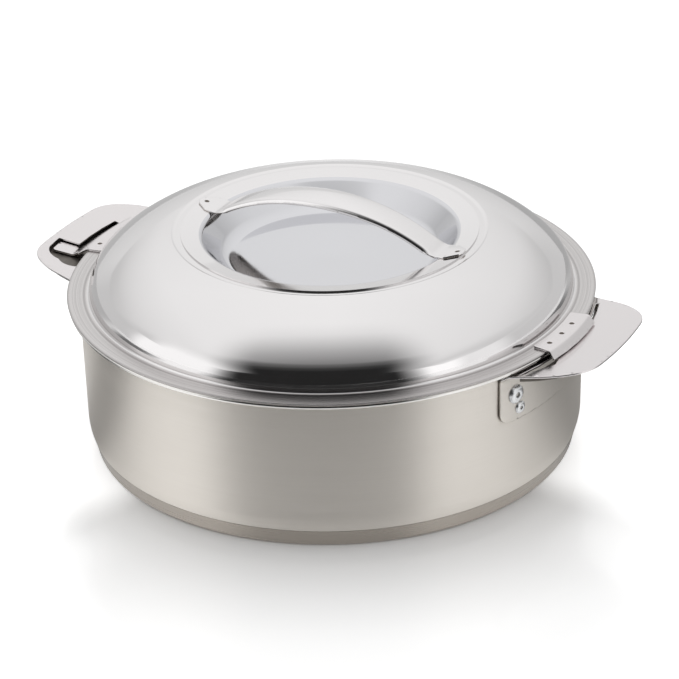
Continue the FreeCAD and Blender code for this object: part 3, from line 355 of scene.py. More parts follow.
LID_SHEET, LID_FLANGE_LOW, LID_RADIUS, DOME_RADIUS = 0.7, 77.25, 125.8, 115.4
LID_FLANGE_TOP = LID_FLANGE_LOW + LID_SHEET
SHOULDER, CROWN, TURN = 16.5, 63.7, math.radians(47)
shoulder_x = DOME_RADIUS - SHOULDER
crown_x = shoulder_x + (SHOULDER - CROWN) * math.cos(TURN)
crown_z = LID_FLANGE_TOP + (SHOULDER - CROWN) * math.sin(TURN)
join = (shoulder_x + SHOULDER * math.cos(TURN), LID_FLANGE_TOP + SHOULDER * math.sin(TURN))
inner_join = (join[0] - LID_SHEET * math.cos(TURN), join[1] - LID_SHEET * math.sin(TURN))
LEDGE_RADIUS, LEDGE_CHAMFER, LEDGE_FALL = 75.0, 1.2, 0.6
ledge_edge = crown_z + math.sqrt(CROWN ** 2 - (LEDGE_RADIUS - crown_x) ** 2)
inner_ledge = crown_z + math.sqrt((CROWN - LID_SHEET) ** 2 - (LEDGE_RADIUS + LID_SHEET - crown_x) ** 2)
ledge_top = ledge_edge - LEDGE_FALL
CUP_EDGE, CUP_MOUTH, CUP_SLOPE = 70.5, 61.0, math.radians(9.5)
HOLE_RADIUS = CUP_MOUTH + 4
hole_top = ledge_top - (CUP_EDGE - HOLE_RADIUS) * math.tan(CUP_SLOPE)
EDGE_FOLD, FOOT_FOLD = 0.35, 0.8      # radii at the flange's cut edge and at the dome's foot
cover_profile = [
    (DOME_RADIUS - LID_SHEET, LID_FLANGE_LOW), (LID_RADIUS - EDGE_FOLD, LID_FLANGE_LOW),
    EDGE_FOLD, (LID_RADIUS - EDGE_FOLD, LID_FLANGE_TOP), (DOME_RADIUS + FOOT_FOLD, LID_FLANGE_TOP),
    -FOOT_FOLD, (DOME_RADIUS - 0.02, LID_FLANGE_TOP + FOOT_FOLD), SHOULDER, join, CROWN,
    (LEDGE_RADIUS, ledge_edge), (LEDGE_RADIUS - LEDGE_CHAMFER, ledge_top), (CUP_EDGE, ledge_top),
    (HOLE_RADIUS, hole_top), (HOLE_RADIUS, hole_top - LID_SHEET),
    (CUP_EDGE, ledge_top - LID_SHEET), (LEDGE_RADIUS - LEDGE_CHAMFER, ledge_top - LID_SHEET),
    (LEDGE_RADIUS + LID_SHEET, inner_ledge), -(CROWN - LID_SHEET), inner_join, -(SHOULDER - LID_SHEET),
    (DOME_RADIUS - LID_SHEET, LID_FLANGE_TOP), (DOME_RADIUS - LID_SHEET, LID_FLANGE_LOW + 0.01),
]
lid_cover = spun("polished_dome", cover_profile, mirror_steel, "lid", segments=288, arc_step=2)
TURNED_FROM = DOME_RADIUS + 0.9     # the flange's own finish starts just outside the dome's foot
# The flange's faces get the greyer finish with its painted shade and painted reflections.
repaint(lid_cover, flange_steel_painted_shade, lambda face: math.hypot(*face.center[:2]) > TURNED_FROM * MM)
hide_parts("lid_cover")

# ---------------------------------------------------------------- recess cup
# A pressed dish in the middle of the lid that makes room for fingers under the strap.
WALL_SLOPE, FLOOR_SLOPE, CUP_SHEET, CUP_DEPTH = math.radians(50.6), math.radians(1.6), 0.7, 12.8
CUP_BEND, MOUTH_BEND = 9.0, 4.0      # radii at the foot of the dish's wall and at its mouth
cup_edge_top = ledge_top + CUP_SHEET / math.cos(CUP_SLOPE)
mouth_top = cup_edge_top - (CUP_EDGE - CUP_MOUTH) * math.tan(CUP_SLOPE)
foot_x, foot_z = CUP_MOUTH - CUP_DEPTH / math.tan(WALL_SLOPE), mouth_top - CUP_DEPTH
cup_middle = foot_z - foot_x * math.tan(FLOOR_SLOPE)
mouth_reach = MOUTH_BEND * math.tan((WALL_SLOPE - CUP_SLOPE) / 2)
foot_reach = CUP_BEND * math.tan((WALL_SLOPE - FLOOR_SLOPE) / 2)


def down_slope(x, z, along, angle, below):
    """The point that lies along a slope from (x, z), and below its surface."""
    return (x + along * math.cos(angle) + below * math.sin(angle),
            z + along * math.sin(angle) - below * math.cos(angle))


def cup_surface(below):
    """The dish's profile from its middle to its edge, at a depth under the upper face."""
    middle = cup_middle - below / math.cos(FLOOR_SLOPE)
    floor = [(x, middle + x * math.tan(FLOOR_SLOPE)) for x in (0, 12, 28)]
    return floor + [
        down_slope(foot_x, foot_z, -foot_reach, FLOOR_SLOPE, below), CUP_BEND + below,
        down_slope(foot_x, foot_z, foot_reach, WALL_SLOPE, below),
        down_slope(CUP_MOUTH, mouth_top, -mouth_reach, WALL_SLOPE, below), -(MOUTH_BEND - below),
        down_slope(CUP_MOUTH, mouth_top, mouth_reach, CUP_SLOPE, below),
        down_slope(CUP_MOUTH, mouth_top, (CUP_EDGE - CUP_MOUTH) / math.cos(CUP_SLOPE), CUP_SLOPE, below),
    ]


under = [item if isinstance(item, tuple) else -item for item in reversed(cup_surface(CUP_SHEET))]
recess_cup = spun("recess_dish", cup_surface(0) + under, mirror_steel, "lid", arc_step=2)

# The hollow of the dish gets a greyer and cooler copy of the lid's polish: painted shade that dims what the
# hollow reflects.
dish_steel_painted_shade = mirror_steel.copy()
dish_steel_painted_shade.name = "polished_dish_stainless"
drive(dish_steel_painted_shade, colour("#DADADD"), "Base Color")
HOLLOW_TO = CUP_MOUTH + 1
repaint(recess_cup, dish_steel_painted_shade, lambda face: math.hypot(*face.center[:2]) < HOLLOW_TO * MM)
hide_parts("recess_cup")

# ---------------------------------------------------------------- lid liner
# The underside of the lid, a shallow pressing whose plug drops into the bowl and centres the lid.
liner_profile = [
    (0, 73.4), (50, 72.4), (104.4, 71.4), 2.8, (107.2, 74.2), (107.2, 77.4), (114.25, 77.4), (114.25, 79.8),
    (113.55, 79.8), (113.55, 78.1), (106.5, 78.1), (106.5, 74.2), -2.1, (104.4, 72.1), (50, 73.1), (0, 74.1),
]
lid_liner = spun("liner_plug", liner_profile, rim_steel, "lid_lift", segments=192)
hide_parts("lid_liner")

# ---------------------------------------------------------------- insulation
# Rigid foam poured between the walls of the pot and of the lid. It is closed in on every side.

# Polyurethane foam: pale straw yellow, matt, with small open cells where it was cut.
foam = new_finish("polyurethane_foam", "#E4DAB6", 0.9, metallic=0.0)
place = node(foam.node_tree, "ShaderNodeTexCoord").outputs["Object"]
cells = node(foam.node_tree, "ShaderNodeTexVoronoi", Vector=place, Scale=900.0)
tint(foam, cells.outputs["Distance"], "#D8CDA6", "#EFE6C6")


def dress(name, finish):
    """Gives a finish to a piece that is shown as its solid."""
    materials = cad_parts[name].data.materials
    materials.clear()
    materials.append(finish)


dress("pot_insulation", foam)
dress("lid_insulation", foam)

# ---------------------------------------------------------------- wing handles
# Two pressed brackets of 1 mm sheet: a flange riveted to the wall, bent out into a polished wing.
# The right wing's slot opens like a leaf, and the left wing's ends in a window for the tongue.
EDGE_ROUND = 0.28    # rounding of a blanked and tumbled sheet edge
MESH_PITCH = 1.5     # distance between points across a wing
GUARD = 0.25         # a row of points follows the rounded edge at this distance
CLEAR = 0.55         # and the other points keep this far from that row
SHORT = 0.12         # nearer points of an outline are left out


def polar(radius, angle):
    return (radius * math.cos(math.radians(angle)), radius * math.sin(math.radians(angle)))


def polar_path(*path):
    """A walk whose corners are radii and angles from the axis."""
    return [polar(*item) if isinstance(item, tuple) else item for item in path]


def loop_points(path, pitch=0.8):
    """A closed outline from corners and arcs, resampled so that no edge is longer than the pitch."""
    corners = walk(path, arc_step=6)
    points = []
    for number, start in enumerate(corners):
        end = corners[(number + 1) % len(corners)]
        count = max(1, math.ceil(np.linalg.norm(end - start) / pitch))
        points += [start + (end - start) * share / count for share in range(count)]
    kept = [points[0]]
    for point in points[1:]:
        if np.linalg.norm(point - kept[-1]) > SHORT:
            kept.append(point)
    return np.array(kept)


def signed_area(loop):
    after = np.roll(loop, -1, axis=0)
    return float(np.sum(loop[:, 0] * after[:, 1] - loop[:, 1] * after[:, 0])) / 2


def drawn_in(loop, distance):
    """A loop moved to its left by a distance, with its corners mitred up to twice that."""
    before = loop - np.roll(loop, 1, axis=0)
    after = np.roll(loop, -1, axis=0) - loop
    normals = []
    for edge in (before, after):
        edge = edge / np.linalg.norm(edge, axis=1)[:, None]
        normals.append(np.stack([-edge[:, 1], edge[:, 0]], 1))
    middle = normals[0] + normals[1]
    middle /= np.maximum(np.linalg.norm(middle, axis=1), 1e-9)[:, None]
    stretch = np.clip(1 / np.maximum((middle * normals[0]).sum(1), 0.5), 1, 2)
    return loop + middle * (distance * stretch)[:, None]


def inside_loop(points, loop):
    after = np.roll(loop, -1, axis=0)
    hits = np.zeros(len(points), bool)
    for (ax, ay), (bx, by) in zip(loop, after):
        crosses = (ay > points[:, 1]) != (by > points[:, 1])
        if crosses.any():
            at = (bx - ax) * (points[:, 1] - ay) / (by - ay if by != ay else 1e-12) + ax
            hits ^= crosses & (points[:, 0] < at)
    return hits


def far_from(points, loops, distance):
    every = np.concatenate(loops)
    keep = np.ones(len(points), bool)
    for start in range(0, len(points), 400):
        part = points[start:start + 400]
        gaps = np.linalg.norm(part[:, None] - every[None], axis=2).min(1)
        keep[start:start + 400] = gaps > distance
    return keep


def within(points, loops):
    """Which points lie inside the first loop and outside the others."""
    keep = inside_loop(points, loops[0])
    for hole in loops[1:]:
        keep &= ~inside_loop(points, hole)
    return keep


WELD_RINGS, WELD_SPOKES = (0.35, 0.65, 0.85, 1.05, 1.25, 1.45, 1.65, 1.95), 20
spokes = np.array([(math.cos(way), math.sin(way)) for way in np.arange(WELD_SPOKES) * math.tau / WELD_SPOKES])


def sheet_field(outline, guard, pitch, welds):
    """Flat points in staggered rows inside the guard loops, with rings round each weld."""
    low, high = outline.min(0), outline.max(0)
    across, along = np.meshgrid(np.arange(low[0], high[0], pitch), np.arange(low[1], high[1], pitch))
    field = np.stack([across.ravel(), along.ravel()], 1)
    field[:, 0] += (np.round(field[:, 1] / pitch) % 2) * pitch / 2
    for spot in np.array(welds):
        field = field[np.linalg.norm(field - spot, axis=1) > WELD_RINGS[-1] + 0.4]
        field = np.concatenate([field, [spot]] + [spot + radius * spokes for radius in WELD_RINGS])
    field = field[within(field, guard)]
    return field[far_from(field, guard, CLEAR)]


def flat_triangles(guard, field):
    """Joins the guard loops and the points between them into triangles that all turn one way."""
    edges, at = [], 0
    for loop in guard:
        edges += [(at + number, at + (number + 1) % len(loop)) for number in range(len(loop))]
        at += len(loop)
    result = delaunay_2d_cdt([Vector(point) for point in np.concatenate([*guard, field])], edges, [], 0, 1e-5)
    flat = np.array([tuple(point) for point in result[0]])
    faces = np.array([tuple(face) for face in result[2]])
    faces = faces[within(flat[faces].mean(1), guard)]
    a, b, c = (flat[faces[:, number]] for number in range(3))
    turned = (b[:, 0] - a[:, 0]) * (c[:, 1] - a[:, 1]) - (b[:, 1] - a[:, 1]) * (c[:, 0] - a[:, 0]) < 0
    faces[turned] = faces[turned][:, ::-1]
    return flat, faces


def edge_rows(loop, guarded, thickness):
    """Rows of flat points with their depths, from the guard row above round the cut edge to the one below."""
    inner = drawn_in(loop, EDGE_ROUND)
    upper = []
    for angle in (math.radians(step) for step in (0, 30, 60, 90)):
        upper.append((inner + (loop - inner) * math.sin(angle), EDGE_ROUND * (1 - math.cos(angle))))
    lower = [(points, thickness - depth) for points, depth in reversed(upper)]
    return [(guarded, 0.0)] + upper + lower + [(guarded, thickness)]


def pressed_sheet(name, loops, surface, thickness, finish, body, welds=(), turn=0.0, pitch=MESH_PITCH):
    """A sheet part from flat outlines: the first loop is its edge and the others are its holes.
    surface turns flat points and depths into places. Cut edges are rounded, and welds are flat
    points that get rings of mesh round them."""
    rings = [loop if (signed_area(loop) > 0) == (number == 0) else loop[::-1]
             for number, loop in enumerate(loops)]
    guard = [drawn_in(loop, EDGE_ROUND + GUARD) for loop in rings]
    flat, faces = flat_triangles(guard, sheet_field(rings[0], guard, pitch, welds))
    places = [surface(flat, np.full(len(flat), depth)) for depth in (0.0, thickness)]
    all_faces = [tuple(face) for face in faces] + [tuple(face[::-1] + len(flat)) for face in faces]
    total = len(flat) * 2
    for loop, guarded in zip(rings, guard):
        size, rows = len(loop), edge_rows(loop, guarded, thickness)
        places += [surface(points, np.full(size, depth)) for points, depth in rows]
        for row in range(total, total + size * (len(rows) - 1), size):
            for number in range(size):
                after = (number + 1) % size
                all_faces.append((row + number, row + size + number, row + size + after, row + after))
        total += size * len(rows)
    spin = Matrix.Rotation(math.radians(turn), 4, "Z")
    mesh = bpy.data.meshes.new(name)
    mesh.from_pydata([spin @ Vector(point * MM) for point in np.concatenate(places)], [], all_faces)
    face_outwards(mesh, SAME_POINT)
    mesh.polygons.foreach_set("use_smooth", [True] * len(mesh.polygons))
    mesh.materials.append(finish)
    made = put_in_scene(name, mesh)
    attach(made, body)
    return made


class BentProfile:
    """The upper face of a bent sheet, read by a flat radius. It is true at one place, and from
    there out as well where the sheet lies nearly level."""

    def __init__(self, runs, true_from, level_beyond=True):
        self.places = np.array(walk(runs, arc_step=3))
        steps = np.linalg.norm(np.diff(self.places, axis=0), axis=1)
        along = np.concatenate([[0], np.cumsum(steps)])
        slopes = np.gradient(self.places, along, axis=0)
        slopes /= np.linalg.norm(slopes, axis=1)[:, None]
        self.normals = np.stack([-slopes[:, 1], slopes[:, 0]], 1)
        first = int(np.argmin(np.linalg.norm(self.places - np.array(true_from), axis=1)))
        self.along = along + self.places[first, 0] - along[first]
        if level_beyond:
            self.along[first:] = self.places[first:, 0]

    def flat_radius(self, radius):
        """The flat radius of a true one, outside the rising flange."""
        return float(np.interp(radius, self.places[:, 0], self.along))

    def __call__(self, flat, depth):
        radius = np.hypot(flat[:, 0], flat[:, 1])
        angle = np.arctan2(flat[:, 1], flat[:, 0])
        r, z = (np.interp(radius, self.along, self.places[:, axis]) for axis in (0, 1))
        nr, nz = (np.interp(radius, self.along, self.normals[:, axis]) for axis in (0, 1))
        size = np.maximum(np.hypot(nr, nz), 1e-9)
        r, z = r - depth * nr / size, z - depth * nz / size
        return np.stack([r * np.cos(angle), r * np.sin(angle), z], 1)


# Polished stainless sheet, a little hazier and less even than the lid.
wing_steel = new_finish("buffed_wing_steel", "#E6E2E2", 0.16)
haze(wing_steel, noise(wing_steel, 60.0, 3.0), 0.13, 0.2)
relief(wing_steel, noise(wing_steel, 25.0, 1.0), 0.3, 0.15)

FLANGE_INNER, WING_SHEET, WING_BEND, WING_SLOPE = 120.1, 1.0, 5.0, math.radians(7.6)
BEND_X = FLANGE_INNER + WING_BEND - WING_BEND * math.sin(WING_SLOPE)
BEND_TOP = RIM_TOP - HEM_HALF * 2 - 0.8
BEND_START = BEND_TOP - WING_BEND * math.cos(WING_SLOPE)
FLANGE_BOTTOM, FLANGE_ANGLE, FLANGE_CORNER = BEND_TOP - 25.85, 22.9, 6.0


def wing_top(radius):
    """Height of a wing's upper face."""
    return BEND_TOP + (radius - BEND_X) * math.tan(WING_SLOPE)


wing_surface = BentProfile([(FLANGE_INNER, FLANGE_BOTTOM), (FLANGE_INNER, BEND_START), -WING_BEND,
                            (BEND_X, BEND_TOP), (160.0, wing_top(160.0))], (BEND_X, BEND_TOP))
flange_edge = wing_surface.along[0]
ROOT, SIDE, CORNER, WING_END, REACH = (110.63, 47.27), (130.0, 42.4), (142.7, 35.84), (149.76, 23.1), 151.0
SIDE_CURVE, CORNER_CURVE, END_CURVE = 36.5, 19.07, 215.0
half_plan = [(flange_edge, 0.0)]
corner_turn = math.degrees(FLANGE_CORNER / (FLANGE_INNER + WING_SHEET / 2))
for turn_by in (math.pi / 2 * step / 8 for step in range(9)):
    half_plan.append((flange_edge + FLANGE_CORNER * (1 - math.cos(turn_by)),
                      FLANGE_ANGLE - corner_turn * (1 - math.sin(turn_by))))
side_rate = (ROOT[1] - SIDE[1]) / (SIDE[0] - ROOT[0])
wing_side = [(x, ROOT[1] - (x - ROOT[0]) * side_rate) for x in np.arange(111.6, SIDE[0], 0.7)]
wing_side += [tuple(point) for point in walk([SIDE, -SIDE_CURVE, CORNER, -CORNER_CURVE, WING_END, -END_CURVE,
                                              (REACH, 0.0)], arc_step=2)]
half_plan.append((wing_surface.flat_radius(120.9), FLANGE_ANGLE))
half_plan += [(wing_surface.flat_radius(math.hypot(x, y)), math.degrees(math.atan2(y, x)))
              for x, y in wing_side]
edge_points = polar_path(*half_plan)
wing_outline = loop_points(edge_points + [(x, -y) for x, y in reversed(edge_points[1:-1])])

SLOT_IN, SLOT_NARROW, SLOT_NECK, WINDOW_OUT = 126.5, 127.9, 136.0, 147.3
leaf_and_slot = loop_points(polar_path(
    (SLOT_IN, -19.8), 202.0, (132.6, -12), (130.1, -9.5), (SLOT_NARROW, -9.5), SLOT_NARROW, (SLOT_NARROW, 4),
    SLOT_NARROW, (SLOT_NARROW, 18), (SLOT_IN, 18), -SLOT_IN, (SLOT_IN, -2), -SLOT_IN,
    (SLOT_IN, -19.7)), pitch=0.7)
neck_and_window = loop_points(polar_path(
    (SLOT_IN, -8.7), (SLOT_NECK, -8.7), SLOT_NECK, (SLOT_NECK, 4.4), (WINDOW_OUT, 4.4), WINDOW_OUT,
    (WINDOW_OUT, 8.2), 12.6, (138.3, 12.6), 9.0, (SLOT_IN, 14), -SLOT_IN, (SLOT_IN, -8.6)), pitch=0.7)
POLISHED_FROM = BEND_START + 2.5    # below this height the flange is brushed like the wall
for side, slots, turn in (("right", leaf_and_slot, 0), ("left", neck_and_window, 180)):
    wing = pressed_sheet("wing_handle_" + side, [wing_outline, slots], wing_surface, WING_SHEET, wing_steel,
                         "pot", turn=turn)
    repaint(wing, brushed_steel, lambda face: face.center.z < POLISHED_FROM * MM)
    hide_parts("handle_" + side)

# ---------------------------------------------------------------- closing pans
# A shallow pan of 0.6 mm sheet under each wing keeps fingers off the lock.

# Pressed stainless steel of the pans, dull and with drawing lines. Its dark colour is painted shade, standing
# for the shade under the wings.
pan_steel_painted_shade = new_finish("press_steel_painted_shade", "#6E6964", 0.42)
tint(pan_steel_painted_shade, noise(pan_steel_painted_shade, 1.0, 2.0, (60, 60, 1600)), "#4A4642", "#8A857F")
dress("lock_keeper_right", pan_steel_painted_shade)
dress("lock_keeper_left", pan_steel_painted_shade)

# ---------------------------------------------------------------- blind rivets
# Two rivets at each end of a flange, a large one above a small stud. Each is a hollow body with a
# domed head outside and a bulb set behind the wall, and the end of its pin shows in the bore.

# Aluminium of the rivets: soft, so it keeps a fine scratched haze and is a little grey.
rivet_metal = new_finish("rivet_aluminium", "#DCDDDE", 0.24)
haze(rivet_metal, noise(rivet_metal, 1400.0, 3.0), 0.18, 0.32)

# Zinc-plated steel of the pins, dull where they broke off.
pin_metal = new_finish("rivet_pin_steel", "#B9B6B2", 0.4)
relief(pin_metal, noise(pin_metal, 2500.0, 2.0), 0.5, 0.1)


def setting_tree():
    """Geometry Nodes that set a rivet on each point of a mesh, facing away from the pot's axis."""
    made, start = node_group("set_rivets", "Rivets", Places="Geometry", Rivet="Object", Finish="Material")
    spots = node(made, "GeometryNodeMeshToPoints", Mesh=start["Places"])
    where = node(made, "GeometryNodeInputPosition")
    level = node(made, "ShaderNodeVectorMath", {"operation": "MULTIPLY"}, n0=where, n1=(1, 1, 0))
    outward = node(made, "FunctionNodeAlignRotationToVector", {"axis": "Z"}, Vector=level)
    share = node(made, "GeometryNodeInputNamedAttribute", {"data_type": "FLOAT"}, Name="size")
    model = node(made, "GeometryNodeObjectInfo", Object=start["Rivet"])
    placed = node(made, "GeometryNodeInstanceOnPoints", Points=spots, Instance=model.outputs["Geometry"],
                  Rotation=outward, Scale=share)
    end_group(made, placed, start["Finish"])
    return made


set_rivets = setting_tree()
RIVET_SEAT = FLANGE_INNER + WING_SHEET
RIVET_SPOTS = [(way * angle, height, size) for angle, height, size in (
    (18.2, FLANGE_BOTTOM + 13.3, 1.0), (16.9, FLANGE_BOTTOM + 5.6, 0.67)) for way in (-1, 1)]
rivet_shapes = {
    "rivets": [(1.2, -5.8), (3.1, -5.8), 0.6, (3.4, -5.3), (3.4, -3.2), 0.9, (2.4, -2.5), (2.4, 0), (4.6, 0),
               (4.6, 0.3), 3.6, (2.5, 1.61), (1.6, 1.61), 0.4, (1.2, 1.2)],
    "rivet_pins": [(0, -5.8), (1.12, -5.8), (1.12, 0.65), 0.5, (0.7, 0.92), (0, 0.92)],
}
for kind, finish, slot in (("rivets", rivet_metal, "rivet_metal"), ("rivet_pins", pin_metal, "pin_metal")):
    pattern = spun(kind + "_pattern", rivet_shapes[kind], finish, "pot", segments=40, arc_step=20)
    for side, turn in (("right", 0), ("left", 180)):
        spots = bpy.data.meshes.new(kind + "_spots")
        spots.from_pydata([(*(value * MM for value in polar(RIVET_SEAT, turn + angle)), height * MM)
                           for angle, height, size in RIVET_SPOTS], [], [])
        sizes = spots.attributes.new("size", "FLOAT", "POINT")
        sizes.data.foreach_set("value", [size for angle, height, size in RIVET_SPOTS])
        made = grown("%s_set_%s" % (kind, side), spots, set_rivets, {"Rivet": pattern, "Finish": finish}, "pot")
        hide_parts("%s_%s" % (kind, side))
    bpy.data.objects.remove(pattern)

# ---------------------------------------------------------------- lock lugs
# A 1.2 mm plate spot-welded to the lid's flange on each side, with a lip bent down over the rim.
# The left one has a tongue that hangs through the window and runs along under the wing.
LUG_SHEET, LUG_INNER, LUG_TOP = 1.2, DOME_RADIUS + 3.0, LID_FLANGE_TOP + 0.05 + 1.2
LUG_BEND, LUG_CURVE = LID_RADIUS + 1.5, 1.7
LIP_FOOT, LIP_GAP = 0.5, 0.12    # heights over the wing: the lip's outer corner and its cut edge
WELD_SIZE, WELD_FLOOR, WELD_DEPTH, WELD_MARK = 1.6, 0.65, 0.45, 1.15


def with_welds(surface, welds, sheet):
    """A sheet's surface with the small round dents that spot welds leave in its upper face."""
    def dented(flat, depth):
        gap = np.min([np.linalg.norm(flat - np.array(spot), axis=1) for spot in welds], axis=0)
        share = np.clip((WELD_SIZE - gap) / (WELD_SIZE - WELD_FLOOR), 0, 1)
        sink = WELD_DEPTH * share * share * (3 - 2 * share)
        return surface(flat, depth + sink * (1 - depth / sheet))
    return dented


# Heat-darkened steel in the dents of the spot welds.
weld_steel = new_finish("burnt_weld_mark", "#6A625B", 0.45)
haze(weld_steel, noise(weld_steel, 1800.0, 2.0), 0.35, 0.6)


def mark_welds(piece, surface, welds, turn=0):
    """Gives the faces in a piece's weld dents the burnt finish."""
    spin = Matrix.Rotation(math.radians(turn), 4, "Z")
    spots = [spin @ Vector(place) * MM for place in surface(np.array(welds), np.full(len(welds), WELD_DEPTH))]
    repaint(piece, weld_steel, lambda face: min((face.center - spot).length for spot in spots) < WELD_MARK * MM)


def lug_profile(reach, beyond=()):
    """Plate, bend and lip of a lug towards the wing at a reach, and what lies beyond the lip's tip.
    It comes with the lip's flat length from the axis, cut short so that its edge clears the wing."""
    tip = (reach + LUG_SHEET / 2, wing_top(reach) + LIP_FOOT)
    lean = math.atan2(LUG_TOP - LUG_SHEET - tip[1], reach - LUG_SHEET / 2 - LUG_BEND)
    corner = tip[0] - (LUG_TOP - tip[1]) / math.tan(lean)
    back = LUG_CURVE * math.tan(lean / 2)
    runs = [(LUG_INNER, LUG_TOP), (corner - back, LUG_TOP), -LUG_CURVE,
            (corner + back * math.cos(lean), LUG_TOP - back * math.sin(lean)), tip, *beyond]
    under = (tip[0] - LUG_SHEET * math.sin(lean), tip[1] - LUG_SHEET * math.cos(lean))
    cut = (wing_top(under[0]) + LIP_GAP - under[1]) / (math.sin(lean) + math.cos(lean) * math.tan(WING_SLOPE))
    profile = BentProfile(runs, (corner - back, LUG_TOP), level_beyond=False)
    return profile, profile.flat_radius(tip[0]) - max(cut, 0.0)


def welded_lug(name, outline, bend, weld_angles, turn=0):
    """A lug pressed from its outline, with the dents and marks of its spot welds."""
    welds = [polar((LUG_INNER + LUG_BEND) / 2, angle) for angle in weld_angles]
    made = pressed_sheet(name, [loop_points(outline, pitch=0.6)], with_welds(bend, welds, LUG_SHEET), LUG_SHEET,
                         wing_steel, "lid", welds=welds, turn=turn, pitch=1.0)
    mark_welds(made, bend, welds, turn)
    return made


right_bend, right_end = lug_profile(130.0)
right_outline = polar_path(
    (LUG_INNER + 0.8, -11), (right_end - 0.8, -11), 0.8, (right_end, -10.65), right_end, (right_end, 7.65), 0.8,
    (right_end - 0.8, 8), (LUG_INNER + 0.8, 8), 0.8, (LUG_INNER, 7.6), -LUG_INNER, (LUG_INNER, -10.6), 0.8)
lug_right = welded_lug("lug_plate_right", right_outline, right_bend, (-7.7, -2.45, 2.8))
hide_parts("lock_lug_right")

TONGUE_FROM, TONGUE_TO, TONGUE_END = 4.52, 8.2, 146.4


def tongue_top(radius):
    """The tongue runs along 0.5 mm under the wing."""
    return wing_top(radius) - WING_SHEET / math.cos(WING_SLOPE) - 0.5


left_bend, left_end = lug_profile(132.0, [
    (134.6, tongue_top(134.6) + 0.55), 3.0, (137.2, tongue_top(137.2)), (TONGUE_END, tongue_top(TONGUE_END))])
tongue_end = left_bend.flat_radius(TONGUE_END)
left_outline = polar_path(
    (LUG_INNER + 0.8, -9.5), (left_end - 0.8, -9.5), 0.8, (left_end, -9.15), left_end,
    (left_end, TONGUE_FROM - 0.4), -0.9, (left_end + 0.9, TONGUE_FROM),
    (tongue_end - 1.6, TONGUE_FROM), 1.6, (tongue_end, TONGUE_FROM + 0.6),
    (tongue_end, TONGUE_TO - 0.6), 1.6, (tongue_end - 1.6, TONGUE_TO), (left_end + 0.9, TONGUE_TO),
    -0.9, (left_end, TONGUE_TO + 0.4), (left_end, 9.15), 0.8, (left_end - 0.8, 9.5),
    (LUG_INNER + 0.8, 9.5), 0.8, (LUG_INNER, 9.1), -LUG_INNER, (LUG_INNER, -9.1), 0.8)
lug_left = welded_lug("lug_plate_left", left_outline, left_bend, (5.9,), turn=180)
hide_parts("lock_lug_left")

# ---------------------------------------------------------------- strap handle
# One pressed strip of 1 mm sheet, arched over the dish. It is crowned across its width, its long
# edges are rolled down, and its flat feet are spot-welded to the dish's flange.

# The strap's back and every face turned down: greyer and softer than its face. The greyer colour is painted
# shade on the underside.
strap_back_painted_shade = new_finish("dull_strap_back_painted_shade", "#C4BEB8", 0.3)
haze(strap_back_painted_shade, noise(strap_back_painted_shade, 120.0, 2.0), 0.25, 0.36)

STRAP_SHEET, STRAP_ROOM, STRAP_BEND, STRAP_TIP = 1.0, 1.2, 5.0, CUP_EDGE + 0.3
STRAP_RISE, STRAP_SPAN = 16.8, CUP_MOUTH - 3.7
STRAP_HALF, FOOT_HALF, TIP_HALF, TIP_ROUND = 9.5, 7.5, 3.0, 6.5
STRAP_ROLL, STRAP_LIP, STRAP_CROWN = 2.0, 0.7, 0.24    # crown is the tilt where the roll starts
ROLL_ENDS = (52.5, 60.0)    # the rolled edges run out between these distances from the middle
arch_outside = (STRAP_SPAN ** 2 + STRAP_RISE ** 2) / (STRAP_RISE * 2)
arch_under = arch_outside - STRAP_ROOM


def foot_line(x):
    """Height of the dish's flange along the strap, with the weld's clearance."""
    return mouth_top + 0.3 + math.tan(CUP_SLOPE) * (x - CUP_MOUTH)


arch_middle = foot_line(CUP_MOUTH) + STRAP_ROOM + STRAP_RISE - arch_outside
low_x, high_x = 0.0, CUP_MOUTH
for _ in range(60):
    bend_x = (low_x + high_x) / 2
    bend_z = foot_line(bend_x) + STRAP_BEND / math.cos(CUP_SLOPE)
    if math.hypot(bend_x, bend_z - arch_middle) < arch_under + STRAP_BEND:
        low_x = bend_x
    else:
        high_x = bend_x
lean = math.atan2(bend_x, bend_z - arch_middle)
half_line = [(arch_under * math.sin(angle), arch_middle + arch_under * math.cos(angle), -angle)
             for angle in np.linspace(0, lean, 60)]
half_line += [(bend_x + STRAP_BEND * math.sin(angle), bend_z - STRAP_BEND * math.cos(angle), angle)
              for angle in np.linspace(-lean, CUP_SLOPE, 16)[1:]]
half_line += [(x, foot_line(x), CUP_SLOPE) for x in np.linspace(half_line[-1][0], STRAP_TIP, 12)[1:]]
strap_line = np.array([(-x, z, -angle) for x, z, angle in reversed(half_line[1:])] + half_line)
steps = np.hypot(np.diff(strap_line[:, 0]), np.diff(strap_line[:, 1]))
strap_along = np.concatenate([[0], np.cumsum(steps)])
strap_along -= strap_along[-1] / 2


def smooth_step(value, low, high):
    share = np.clip((value - low) / (high - low), 0, 1)
    return share * share * (3 - 2 * share)


